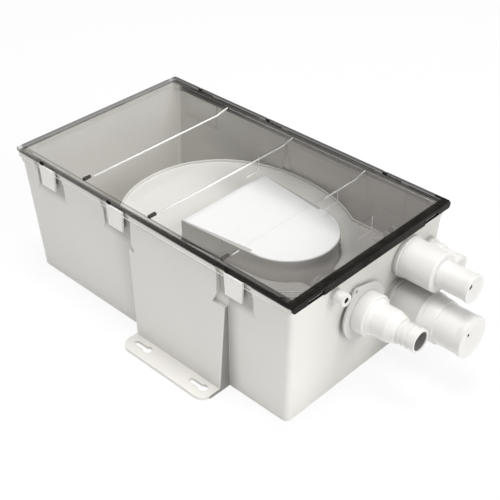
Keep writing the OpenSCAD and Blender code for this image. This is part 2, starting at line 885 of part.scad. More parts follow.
module discharge_fitting() {
    inside = flange_x - inner_spigot_x;
    thread_in = flange_x - spigot_x;
    color(white)
        difference() {
            union() {
                turned_x(flange_x, discharge_y, discharge_z, [
                    [-inside, 0], [-inside, hose_r], [-thread_in, hose_r], [-thread_in, discharge_thread_r],
                    [0, discharge_thread_r], [0, discharge_flange_r], [flange_t, discharge_flange_r],
                    [flange_t, discharge_collar_r], [discharge_collar_l - collar_edge, discharge_collar_r],
                    [discharge_collar_l, discharge_collar_r - collar_edge],
                    [discharge_collar_l, discharge_foot_r],
                    [discharge_collar_l + discharge_foot_l, step_r], [discharge_step_l, step_r],
                    [discharge_cone_l, tip_r + barb_drop], [discharge_cone_l, tip_r - barb_drop],
                    [discharge_cone_l + barb_l, tip_r], [discharge_cone_l + barb_l, tip_r - barb_drop],
                    [discharge_cone_l + 2 * barb_l, tip_r],
                    [discharge_cone_l + 2 * barb_l, tip_r - barb_drop],
                    [discharge_l - tip_band, tip_r - barb_drop], [discharge_l - tip_band, tip_r],
                    [discharge_l, tip_r], [discharge_l, 0]]);
                for (turn = [0, 180])
                    translate([flange_x, discharge_y, discharge_z]) rotate([90, 0, 90])
                        linear_extrude(flange_t) rotate(lug_angle + turn) flange_lug();
            }
            rod_x(inner_spigot_x - overrun, flange_x + discharge_l + overrun, discharge_y, discharge_z,
                discharge_r);
            for (turn = [0, 180]) {
                a = lug_angle + turn;
                rod_x(flange_x - overrun, flange_x + flange_t + overrun,
                    discharge_y + lug_place_r * cos(a), discharge_z + lug_place_r * sin(a), lug_hole_r);
            }
        }
}

module discharge_gasket() {
    color(black)
        tube_x(port_x, port_x + gasket_t, discharge_y, discharge_z, discharge_thread_r + hole_gap,
            discharge_flange_r - gasket_in);
}

module discharge_nut() {
    color(white)
        hex_nut(discharge_y, discharge_z, discharge_nut_r, discharge_thread_r + thread_gap);
}

// Two flange screws, whose heads sit below the mouths of their holes
module discharge_screws() {
    color(steel)
        for (turn = [0, 180]) {
            a = lug_angle + turn;
            y = discharge_y + lug_place_r * cos(a);
            z = discharge_z + lug_place_r * sin(a);
            rod_x(port_x - screw_l + overrun, flange_x, y, z, pilot_r);
            rod_x(port_x + hole_gap / 2, flange_x + flange_t - screw_sink, y, z, screw_head_r);
        }
}

// Closed tip: the dish in the end face and the small hole in its middle
module closed_tip(x1, y, z, r) {
    turned_x(x1, y, z, [[overrun, 0], [overrun, r - dish_rim], [0, r - dish_rim],
        [-dish_l, dish_floor_r], [-dish_l, dish_hole_r], [-dish_l - dish_hole_l, dish_hole_r],
        [-dish_l - dish_hole_l, 0]]);
}

// Hollow of a closed fitting, open towards the tub
module inlet_hollow(x1, y, z, d) {
    rod_x(spigot_x - overrun, x1 - dish_l - dish_hole_l - web_t, y, z, thread_r(d) - wall_of_inlet);
}

module large_inlet() {
    r = large_d / 2;
    color(white)
        difference() {
            turned_x(flange_x, large_y, large_z, [
                [spigot_x - flange_x, 0], [spigot_x - flange_x, thread_r(large_d)],
                [0, thread_r(large_d)], [0, large_ring_r], [ring_t, large_ring_r],
                [ring_t, large_base_r], [large_base_l - groove_l, large_base_r],
                [large_base_l - groove_l, large_base_r - groove_t],
                [large_base_l, large_base_r - groove_t], [large_base_l, large_collar_r],
                [large_collar_l, large_collar_end_r], [large_collar_l, r - land_drop],
                [large_l - tip_band, r - land_drop], [large_l - tip_band, r], [large_l, r], [large_l, 0]]);
            closed_tip(flange_x + large_l, large_y, large_z, r);
            inlet_hollow(flange_x + large_l, large_y, large_z, large_d);
        }
}

// Medium and small inlets share one form: ring, base, then the hose step with its tip band
module stepped_inlet(y, z, d, ring_r, base_r, base_l, l) {
    r = d / 2;
    color(white)
        difference() {
            turned_x(flange_x, y, z, [
                [spigot_x - flange_x, 0], [spigot_x - flange_x, thread_r(d)], [0, thread_r(d)],
                [0, ring_r], [ring_t, ring_r], [ring_t, base_r], [base_l - collar_edge, base_r],
                [base_l, base_r - collar_edge], [base_l, r - land_drop], [l - tip_band, r - land_drop],
                [l - tip_band, r], [l, r], [l, 0]]);
            closed_tip(flange_x + l, y, z, r);
            inlet_hollow(flange_x + l, y, z, d);
        }
}

module medium_inlet() {
    stepped_inlet(medium_y, medium_z, medium_d, medium_ring_r, medium_base_r, medium_base_l, medium_l);
}

module small_inlet() {
    stepped_inlet(small_y, small_z, small_d, small_ring_r, small_base_r, small_base_l, small_l);
}

module inlet_gasket(y, z, d, ring_r) {
    color(black) tube_x(port_x, port_x + gasket_t, y, z, thread_r(d) + hole_gap, ring_r - gasket_in);
}

module large_gasket() { inlet_gasket(large_y, large_z, large_d, large_ring_r); }
module medium_gasket() { inlet_gasket(medium_y, medium_z, medium_d, medium_ring_r); }
module small_gasket() { inlet_gasket(small_y, small_z, small_d, small_ring_r); }

module large_nut() { color(white) hex_nut(large_y, large_z, large_nut_r, thread_r(large_d) + thread_gap); }
module medium_nut() {
    color(white) hex_nut(medium_y, medium_z, medium_nut_r, thread_r(medium_d) + thread_gap);
}
module small_nut() { color(white) hex_nut(small_y, small_z, small_nut_r, thread_r(small_d) + thread_gap); }

// Height of a flap's pin above the fitting's axis
function flap_pin_rise(d) = thread_r(d) + flap_over + flap_rise;

// Ring on the spigot's end, with two ears that carry the flap's pin
module valve_ring(y, z, d) {
    r = thread_r(d);
    pin_z = z + flap_pin_rise(d);
    color(grey) {
        tube_x(valve_ring_x, valve_ring_x + ring_l, y, z, r + thread_gap, r + ring_wall);
        for (side = [-1, 1]) {
            ear_y0 = y + side * (flap_hub_l / 2 + ear_gap + ear_t / 2) - ear_t / 2;
            difference() {
                union() {
                    translate([flap_pin_x, ear_y0, z + r + ear_bite])
                        cube([valve_ring_x + ring_l - flap_pin_x, ear_t, pin_z - z - r - ear_bite]);
                    translate([flap_pin_x, ear_y0, pin_z]) rotate([-90, 0, 0])
                        cylinder(r = ear_r, h = ear_t);
                    translate([flap_pin_x, ear_y0, pin_z])
                        cube([valve_ring_x + ring_l - flap_pin_x, ear_t, ear_r]);
                }
                translate([flap_pin_x, ear_y0 - overrun, pin_z]) rotate([-90, 0, 0])
                    cylinder(r = flap_pin_r, h = ear_t + 2 * overrun);
            }
        }
    }
}

module large_valve_ring() { valve_ring(large_y, large_z, large_d); }
module medium_valve_ring() { valve_ring(medium_y, medium_z, medium_d); }
module small_valve_ring() { valve_ring(small_y, small_z, small_d); }

// Flap: a disc over the spigot's mouth, hung from a hub by a short neck
module flap(y, z, d) {
    r = thread_r(d) + flap_over;
    pin_z = z + flap_pin_rise(d);
    color(black)
        difference() {
            union() {
                rod_x(flap_x0, flap_x1, y, z, r);
                translate([flap_x0, y - flap_neck_w / 2, z]) cube([flap_t, flap_neck_w, pin_z - z]);
                translate([flap_pin_x, y - flap_hub_l / 2, pin_z]) rotate([-90, 0, 0])
                    cylinder(r = flap_hub_r, h = flap_hub_l);
            }
            translate([flap_pin_x, y - flap_hub_l / 2 - overrun, pin_z]) rotate([-90, 0, 0])
                cylinder(r = flap_pin_r + run_gap, h = flap_hub_l + 2 * overrun);
        }
}

module large_flap() { flap(large_y, large_z, large_d); }
module medium_flap() { flap(medium_y, medium_z, medium_d); }
module small_flap() { flap(small_y, small_z, small_d); }

module flap_pins() {
    half = flap_hub_l / 2 + ear_gap + ear_t;
    color(steel)
        for (p = [[large_y, large_z, large_d], [medium_y, medium_z, medium_d], [small_y, small_z, small_d]])
            translate([flap_pin_x, p[0] - half, p[1] + flap_pin_rise(p[2])]) rotate([-90, 0, 0])
                cylinder(r = flap_pin_r, h = 2 * half);
}

module cable_gland() {
    color(white)
        difference() {
            union() {
                rod_x(gland_x0, port_x, gland_y, gland_z, gland_spigot_r);
                rod_x(port_x, port_x + gland_collar_l, gland_y, gland_z, gland_collar_r - collar_edge);
                rod_x(port_x, gland_x1, gland_y, gland_z, gland_r);
            }
            rod_x(gland_x0 - overrun, gland_x1 + overrun, gland_y, gland_z, gland_bore_r);
        }
}

// Points of an oval whose two ends differ in length
function oval(left, right, half_w) = [
    for (i = [0 : oval_steps - 1])
        let (t = 360 * i / oval_steps, c = cos(t), s = sin(t), reach = c < 0 ? left : right)
            [shroud_cx + reach * sign(c) * pow(abs(c), 2 / oval_power),
                half_w * sign(s) * pow(abs(s), 2 / oval_power)]];

// Deck outline: the oval, squared towards the ports by the two screw ears
module deck_outline(inset) {
    polygon(oval(shroud_left - inset, shroud_right - inset, shroud_half_w - inset));
    for (side = [-1, 1])
        translate([ear_x, side * ear_y]) circle(r = shroud_ear_r - inset);
    reach = ear_y + shroud_ear_r - inset;
    translate([ear_root_x, -reach]) square([ear_x - ear_root_x, 2 * reach]);
    translate([ear_x, -ear_y]) square([shroud_ear_r - inset, 2 * ear_y]);
}

// Half width of the pump's outline at x, grown by extra
function pump_side(x, extra) = (pump_r + extra - (x - pump_cx) * sin(pump_lean)) / cos(pump_lean);

// Outline of the pump seen from above, grown by extra
module pump_outline(extra) {
    r = pump_r + extra;
    x0 = pump_x0 - extra;
    x1 = pump_cx + r * sin(pump_lean);
    translate([pump_cx, 0]) circle(r = r, $fn = 96);
    polygon([[x0, -pump_side(x0, extra)], [x1, -r * cos(pump_lean)], [x1, r * cos(pump_lean)],
        [x0, pump_side(x0, extra)]]);
}

// Outline of the label: its sides draw in more than the pump's, with a step out at the round end
module label_outline() {
    r = pump_r - label_inset;
    x0 = pump_x0 + label_inset;
    polygon([[x0, -pump_side(x0, -label_inset)], [pump_cx, label_step - r], [pump_cx, r - label_step],
        [x0, pump_side(x0, -label_inset)]]);
    intersection() {
        translate([pump_cx, 0]) circle(r = r, $fn = 96);
        translate([pump_cx - label_step / 2, -r]) square([2 * r, 2 * r]);
    }
}

module strainer_shroud() {
    color(white)
        difference() {
            union() {
                translate([0, 0, deck_top - deck_t])
                    linear_extrude(deck_t) deck_outline(0);
                translate([0, 0, deck_top])
                    linear_extrude(deck_rim_h)
                        difference() {
                            deck_outline(0);
                            deck_outline(deck_rim_w);
                        }
                translate([0, 0, floor_t])
                    linear_extrude(deck_top - deck_t - floor_t)
                        difference() {
                            polygon(oval(shroud_left - skirt_inset, shroud_right - deck_rim_w,
                                shroud_half_w - skirt_inset));
                            polygon(oval(shroud_left - skirt_inset - skirt_t,
                                shroud_right - deck_rim_w - skirt_t,
                                shroud_half_w - skirt_inset - skirt_t));
                        }
            }
            translate([0, 0, deck_top - deck_t - overrun])
                linear_extrude(deck_t + deck_rim_h + 2 * overrun) pump_outline(pump_hole_gap);
            for (i = [0 : slot_count - 1])
                translate([shroud_cx, 0, slot_z0]) rotate([0, 0, (i + 0.5) * 360 / slot_count])
                    translate([slot_start, -slot_w / 2, 0])
                        cube([slot_reach, slot_w, slot_z1 - slot_z0]);
            arch_r = hose_r + hose_wall + clamp_ear_h + clamp_arch_gap;
            rod_x(pump_cx, pump_x1 + 2 * shroud_ear_r, discharge_y, discharge_z, arch_r);
            translate([pump_cx, discharge_y - arch_r, discharge_z])
                cube([pump_r + 2 * shroud_ear_r, 2 * arch_r, deck_top]);
            for (side = [-1, 1])
                translate([ear_x, side * ear_y, deck_top - deck_t - overrun])
                    cylinder(r = knob_shank_r + hole_gap, h = deck_t + 2 * overrun);
        }
}

// Screws of the shroud's ears, with a dished head that shows as a bright ring
module shroud_screws() {
    color(white)
        for (side = [-1, 1])
            translate([ear_x, side * ear_y, deck_top])
                difference() {
                    union() {
                        cylinder(r = knob_r, h = knob_h);
                        translate([0, 0, overrun - knob_shank_l])
                            cylinder(r = knob_shank_r, h = knob_shank_l - overrun);
                    }
                    translate([0, 0, knob_h - knob_dish]) cylinder(r = knob_r - knob_rim, h = knob_h);
                }
}

module pump_base() {
    color(grey)
        difference() {
            union() {
                translate([0, 0, base_z]) linear_extrude(base_h) pump_outline(0);
                for (side = [-1, 1])
                    translate([float_pivot_x - float_post_w / 2, side * float_post_y - float_post_t / 2,
                            casing_z - overrun])
                        cube([float_post_w, float_post_t,
                            float_pivot_z - casing_z + float_pin_r + 2 * overrun]);
            }
            translate([0, 0, base_z - overrun])
                linear_extrude(base_h - base_plate_t + overrun) pump_outline(-housing_t);
            translate([pump_cx, 0, casing_z - base_plate_t - overrun])
                cylinder(r = eye_r, h = base_plate_t + 2 * overrun);
            for (y = [-pump_r + base_slot_pitch : base_slot_pitch : pump_r - base_slot_pitch])
                translate([pump_x0 - overrun, y - base_slot_w / 2, base_z])
                    cube([pump_x1 - pump_x0 + 2 * overrun, base_slot_w, base_slot_h]);
            for (x = [pump_x0 + base_slot_pitch : base_slot_pitch : pump_x1 - base_slot_pitch])
                translate([x - base_slot_w / 2, -pump_w / 2 - overrun, base_z])
                    cube([base_slot_w, pump_w + 2 * overrun, base_slot_h]);
            for (side = [-1, 1])
                translate([float_x0 + float_l / 2, side * float_half_w / 2, casing_z - base_plate_t - overrun])
                    cylinder(r = vent_r, h = base_plate_t + 2 * overrun);
            translate([float_pivot_x, -float_post_y - float_post_t, float_pivot_z]) rotate([-90, 0, 0])
                cylinder(r = float_pin_r, h = 2 * (float_post_y + float_post_t));
        }
}

module pump_housing() {
    color(grey)
        difference() {
            union() {
                translate([0, 0, casing_z]) linear_extrude(housing_top - casing_z) pump_outline(0);
                for (a = housing_rib_angles)
                    translate([pump_cx, 0, casing_z]) rotate([0, 0, a])
                        translate([pump_r - housing_t, -housing_rib_w / 2, 0])
                            cube([housing_t + housing_rib_out, housing_rib_w,
                                housing_top - casing_z - housing_rib_top_gap]);
            }
            translate([0, 0, casing_z - overrun])
                linear_extrude(housing_top - casing_z - housing_t + overrun) pump_outline(-housing_t);
            rod_x(pump_cx, pump_x1 + overrun, discharge_y, discharge_z, riser_r + hole_gap);
        }
}

module pump_label() {
    color("white")
        translate([0, 0, housing_top]) linear_extrude(label_t) label_outline();
}

module impeller_casing() {
    color(grey)
        difference() {
            union() {
                translate([pump_cx, 0, casing_z]) cylinder(r = casing_r, h = casing_top - casing_z);
                rod_x(pump_cx, riser_x - riser_r - run_gap, discharge_y, riser_z, riser_r);
            }
            translate([pump_cx, 0, casing_z + casing_floor_t]) cylinder(r = casing_in_r, h = chamber_h);
            translate([pump_cx, 0, casing_z - overrun]) cylinder(r = eye_r, h = casing_floor_t + 2 * overrun);
            translate([pump_cx, 0, casing_z + casing_floor_t])
                cylinder(r = seal_r + run_gap, h = chamber_h + casing_top_t + overrun);
            rod_x(pump_cx + casing_in_r / 2, riser_x, discharge_y, riser_z, riser_bore_r);
        }
}

// Riser: up from the casing's outlet, then out through the housing to the hose
module outlet_riser() {
    color(grey)
        difference() {
            union() {
                translate([riser_x, discharge_y, casing_z]) cylinder(r = riser_r, h = discharge_z - casing_z);
                translate([riser_x, discharge_y, discharge_z]) sphere(r = riser_r);
                rod_x(riser_x, nozzle_x, discharge_y, discharge_z, riser_r);
                rod_x(riser_x - riser_r, riser_x, discharge_y, riser_z, riser_r);
            }
            translate([riser_x, discharge_y, riser_z])
                cylinder(r = riser_bore_r, h = discharge_z - riser_z);
            translate([riser_x, discharge_y, riser_z]) sphere(r = riser_bore_r);
            translate([riser_x, discharge_y, discharge_z]) sphere(r = riser_bore_r);
            rod_x(riser_x, nozzle_x + overrun, discharge_y, discharge_z, riser_bore_r);
            rod_x(riser_x - riser_r - overrun, riser_x, discharge_y, riser_z, riser_bore_r);
        }
}

module discharge_hose() {
    color(black)
        tube_x(hose_x0, hose_x1, discharge_y, discharge_z, hose_r + hose_fit, hose_r + hose_wall);
}

module hose_clamps() {
    r = hose_r + hose_wall;
    color(steel)
        for (x = [hose_x0 + clamp_inset, hose_x1 - clamp_inset - clamp_w])
            difference() {
                union() {
                    rod_x(x, x + clamp_w, discharge_y, discharge_z, r + clamp_t);
                    translate([x, discharge_y - clamp_ear_w / 2, discharge_z - r - clamp_ear_h])
                        cube([clamp_w, clamp_ear_w, clamp_ear_h]);
                }
                rod_x(x - overrun, x + clamp_w + overrun, discharge_y, discharge_z, r);
            }
}

module motor_can() {
    color(steel)
        translate([pump_cx, 0, can_z])
            difference() {
                cylinder(r = motor_r, h = motor_h);
                translate([0, 0, bearing_h + can_t]) cylinder(r = motor_r - can_t, h = motor_h);
                translate([0, 0, -overrun]) cylinder(r = bearing_r, h = bearing_h + can_t + 2 * overrun);
            }
}

module motor_cap() {
    color(black)
        translate([pump_cx, 0, motor_top])
            difference() {
                union() {
                    cylinder(r = motor_r, h = cap_t);
                    translate([0, 0, -cap_boss_h]) cylinder(r = bearing_r + can_t, h = cap_boss_h);
                }
                translate([0, 0, -cap_boss_h - overrun]) cylinder(r = bearing_r, h = cap_boss_h + overrun);
            }
}

module field_magnets() {
    r = motor_r - can_t - can_gap;
    color(black)
        translate([pump_cx, 0, can_z + magnet_lift])
            difference() {
                cylinder(r = r, h = magnet_h);
                translate([0, 0, -overrun]) cylinder(r = r - magnet_t, h = magnet_h + 2 * overrun);
                translate([-r - overrun, -magnet_slot_w / 2, -overrun])
                    cube([2 * (r + overrun), magnet_slot_w, magnet_h + 2 * overrun]);
            }
}

module bearing(z, h) {
    color(steel)
        translate([pump_cx, 0, z])
            difference() {
                cylinder(r = bearing_r - run_gap, h = h);
                translate([0, 0, -overrun]) cylinder(r = shaft_r + run_gap, h = h + 2 * overrun);
            }
}

module lower_bearing() { bearing(can_z, bearing_h); }
module upper_bearing() { bearing(motor_top - cap_boss_h, cap_boss_h - run_gap); }

module shaft_seal() {
    color(black)
        translate([pump_cx, 0, casing_top - seal_h - run_gap])
            difference() {
                cylinder(r = seal_r, h = seal_h);
                translate([0, 0, -overrun]) cylinder(r = shaft_r + run_gap, h = seal_h + 2 * overrun);
            }
}

module motor_shaft() {
    color(steel)
        translate([pump_cx, 0, impeller_z + shaft_rise])
            cylinder(r = shaft_r, h = motor_top - seat_gap - impeller_z - shaft_rise);
}

// Armature: a core with slots that open to its rim
module armature() {
    color(steel)
        translate([pump_cx, 0, can_z + armature_lift])
            difference() {
                cylinder(r = armature_r, h = armature_h);
                translate([0, 0, -overrun]) cylinder(r = shaft_r, h = armature_h + 2 * overrun);
                for (i = [0 : armature_slots - 1])
                    rotate([0, 0, i * 360 / armature_slots]) {
                        translate([armature_r - 2 * armature_slot_r, 0, -overrun])
                            cylinder(r = armature_slot_r, h = armature_h + 2 * overrun);
                        translate([armature_r - 2 * armature_slot_r, -armature_neck_w / 2, -overrun])
                            cube([3 * armature_slot_r, armature_neck_w, armature_h + 2 * overrun]);
                    }
            }
}

// Two carbon brushes beside the commutator
module brushes() {
    color([0.2, 0.2, 0.2])
        for (side = [-1, 1])
            translate([pump_cx + side * (commutator_r + brush_gap + brush_l / 2) - brush_l / 2,
                    -brush_w / 2, can_z + armature_lift + armature_h + brush_lift])
                cube([brush_l, brush_w, brush_h]);
}

module commutator() {
    color([0.72, 0.45, 0.20])
        translate([pump_cx, 0, can_z + armature_lift + armature_h])
            difference() {
                cylinder(r = commutator_r, h = commutator_h);
                translate([0, 0, -overrun]) cylinder(r = shaft_r, h = commutator_h + 2 * overrun);
            }
}

// Impeller: a disc and hub with arc-shaped vanes that trail the turn
module impeller() {
    curve_r = impeller_r * vane_curve_share;
    color(grey)
        translate([pump_cx, 0, 0])
            difference() {
                union() {
                    translate([0, 0, disc_z]) cylinder(r = impeller_r, h = disc_t);
                    translate([0, 0, impeller_z]) cylinder(r = hub_r, h = vane_h + disc_t);
                    translate([0, 0, impeller_z])
                        linear_extrude(vane_h)
                            intersection() {
                                circle(r = impeller_r);
                                for (i = [0 : vane_count - 1])
                                    rotate(i * 360 / vane_count)
                                        intersection() {
                                            translate([curve_r, 0])
                                                difference() {
                                                    circle(r = curve_r + vane_t / 2);
                                                    circle(r = curve_r - vane_t / 2);
                                                }
                                            square([2 * impeller_r, impeller_r]);
                                        }
                            }
                }
                translate([0, 0, impeller_z + shaft_rise])
                    cylinder(r = shaft_r, h = vane_h + disc_t + overrun);
            }
}

// Float: a hollow block drawn as a solid, on an arm that ends in a hub
module float_body() {
    z0 = casing_z + float_bottom_gap;
    arm_x0 = float_x0 + float_l - overrun;
    color(white)
        difference() {
            union() {
                translate([float_x0, -float_half_w, z0]) cube([float_l, 2 * float_half_w, float_h]);
                translate([arm_x0, -float_arm_w / 2, float_pivot_z - float_arm_h])
                    cube([float_pivot_x - arm_x0, float_arm_w, float_arm_h]);
                translate([float_pivot_x, -float_arm_w / 2, float_pivot_z]) rotate([-90, 0, 0])
                    cylinder(r = float_hub_r, h = float_arm_w);
            }
            translate([float_pivot_x, -float_arm_w / 2 - overrun, float_pivot_z]) rotate([-90, 0, 0])
                cylinder(r = float_pin_r + run_gap, h = float_arm_w + 2 * overrun);
        }
}

module float_pin() {
    half = float_post_y + float_post_t / 2;
    color(steel)
        translate([float_pivot_x, -half, float_pivot_z]) rotate([-90, 0, 0])
            cylinder(r = float_pin_r, h = 2 * half);
}

module float_switch() {
    color(black)
        translate([pump_x0 + housing_t + seat_gap, -switch_half_w, switch_z])
            cube([switch_l, 2 * switch_half_w, switch_h]);
}

sump_box();
lid();
lid_seal();
clip_near_1();
clip_near_2();
clip_near_3();
clip_far_1();
clip_far_2();
clip_far_3();
discharge_fitting();
discharge_gasket();
discharge_nut();
discharge_screws();
large_inlet();
large_gasket();
large_nut();
large_valve_ring();
large_flap();
medium_inlet();
medium_gasket();
medium_nut();
medium_valve_ring();
medium_flap();
small_inlet();
small_gasket();
small_nut();
small_valve_ring();
small_flap();
flap_pins();
cable_gland();
strainer_shroud();
shroud_screws();
pump_base();
pump_housing();
pump_label();
impeller_casing();
outlet_riser();
discharge_hose();
hose_clamps();
motor_can();
motor_cap();
field_magnets();
brushes();
lower_bearing();
upper_bearing();
shaft_seal();
motor_shaft();
armature();
commutator();
impeller();
float_body();
float_pin();
float_switch();
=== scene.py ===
import json
import math
from collections import namedtuple

import bmesh
import bpy
from mathutils import Matrix, Vector


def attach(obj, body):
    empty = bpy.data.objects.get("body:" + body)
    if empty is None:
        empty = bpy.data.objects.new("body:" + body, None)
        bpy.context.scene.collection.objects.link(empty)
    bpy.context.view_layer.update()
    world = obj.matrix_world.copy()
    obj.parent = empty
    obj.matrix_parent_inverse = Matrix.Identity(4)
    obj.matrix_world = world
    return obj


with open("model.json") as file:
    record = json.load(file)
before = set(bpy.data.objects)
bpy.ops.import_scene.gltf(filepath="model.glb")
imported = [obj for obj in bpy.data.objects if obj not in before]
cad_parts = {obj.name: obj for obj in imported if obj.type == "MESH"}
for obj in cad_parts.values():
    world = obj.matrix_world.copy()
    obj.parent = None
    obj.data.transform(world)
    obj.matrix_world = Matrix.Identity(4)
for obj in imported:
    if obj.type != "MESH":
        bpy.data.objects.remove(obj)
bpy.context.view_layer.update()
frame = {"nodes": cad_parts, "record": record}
NODES = frame["nodes"]
scene = bpy.context.scene
scene.view_settings.view_transform = "Standard"

# Shapes and masks are in millimetres, as in the part's source. Camera, floor and lights are in metres.
MM = 0.001
DECIMALS = 3
Place = namedtuple("Place", "x y z")
Box = namedtuple("Box", "low middle high")


def node_box(name):
    """The box round a node of the part, in millimetres."""
    ob = NODES[name]
    points = [ob.matrix_world @ Vector(corner) / MM for corner in ob.bound_box]
    low = Place(*(round(min(values), DECIMALS) for values in zip(*points)))
    high = Place(*(round(max(values), DECIMALS) for values in zip(*points)))
    return Box(low, Place(*((a + b) / 2 for a, b in zip(low, high))), high)


# Sizes read from the part
LID_BOX = node_box("lid")
LID_HALF_L = -LID_BOX.low.x
LID_HALF_W = LID_BOX.high.y
TOP = LID_BOX.high.z
RIM_Z = node_box("sump_box").high.z
CLIP_NUMBERS = (1, 2, 3)

# Sizes of the part that no box gives
PLATE_T = 2.4
PLATE_Z = TOP - PLATE_T
RIB_GAP = 86.0
RIB_XS = (-RIB_GAP, 0.0, RIB_GAP)
FIN_STEP = 49.0
NOTCH_SHIFT = -8.0
SIDE_LIP, END_LIP = 2.6, 1.6
SIDE_LEAN, END_LEAN = 5.0, 7.4
FLOOR_HALF_W = LID_HALF_W - SIDE_LIP - SIDE_LEAN
FLOOR_HALF_L = LID_HALF_L - END_LIP - END_LEAN
BULGE_X0, BULGE_X1 = -10.0, 96.0
BULGE_SPREAD_LEFT, BULGE_SPREAD_RIGHT = 10.0, 5.5

# Camera, solved from the box's edges in the photo
AZIMUTH, ELEVATION, ROLL = 0.7676, 0.62550, -0.0058
DISTANCE = 1.037326
FOCAL_PX, PHOTO_PX = 1034.7986, 500
TARGET = Vector((-0.02703, 0.06096, 0.0))
SENSOR_MM = 36.0
CLIP_START, CLIP_END = 0.05, 20


def make_camera():
    flat = math.cos(ELEVATION)
    back = Vector((math.sin(AZIMUTH) * flat, -math.cos(AZIMUTH) * flat, math.sin(ELEVATION)))
    right = Vector((0, 0, 1)).cross(back).normalized()
    up = back.cross(right)
    c, s = math.cos(ROLL), math.sin(ROLL)
    right, up = c * right + s * up, -s * right + c * up
    data = bpy.data.cameras.new("camera")
    data.sensor_width = SENSOR_MM
    data.lens = FOCAL_PX / PHOTO_PX * SENSOR_MM
    data.clip_start = CLIP_START
    data.clip_end = CLIP_END
    cam = bpy.data.objects.new("camera", data)
    scene.collection.objects.link(cam)
    place = Matrix((right, up, back)).transposed().to_4x4()
    place.translation = TARGET + back * DISTANCE
    cam.matrix_world = place
    scene.camera = cam


make_camera()


# Colours

def srgb(r, g, b):
    """A screen colour from 0 to 255 as the linear colour that nodes take."""
    def linear(c):
        return c / 12.92 if c <= 0.04045 else ((c + 0.055) / 1.055) ** 2.4
    return (linear(r / 255), linear(g / 255), linear(b / 255), 1.0)


def grey(v):
    return (v, v, v, 1.0)


def scaled(c, k):
    return (min(1, c[0] * k), min(1, c[1] * k), min(1, c[2] * k), 1.0)


def tinted(tone, hue):
    """A tone with the share of it that each of red, green and blue keeps."""
    return tuple(tone * share for share in hue) + (1.0,)


# Where in a noise's range a colour or a gloss turns
NOISE_BAND = (0.3, 0.7)
CLOUD_BAND = (0.25, 0.75)
SPECK_BAND = (0.68, 0.80)
STREAK_BAND = (0.35, 0.65)


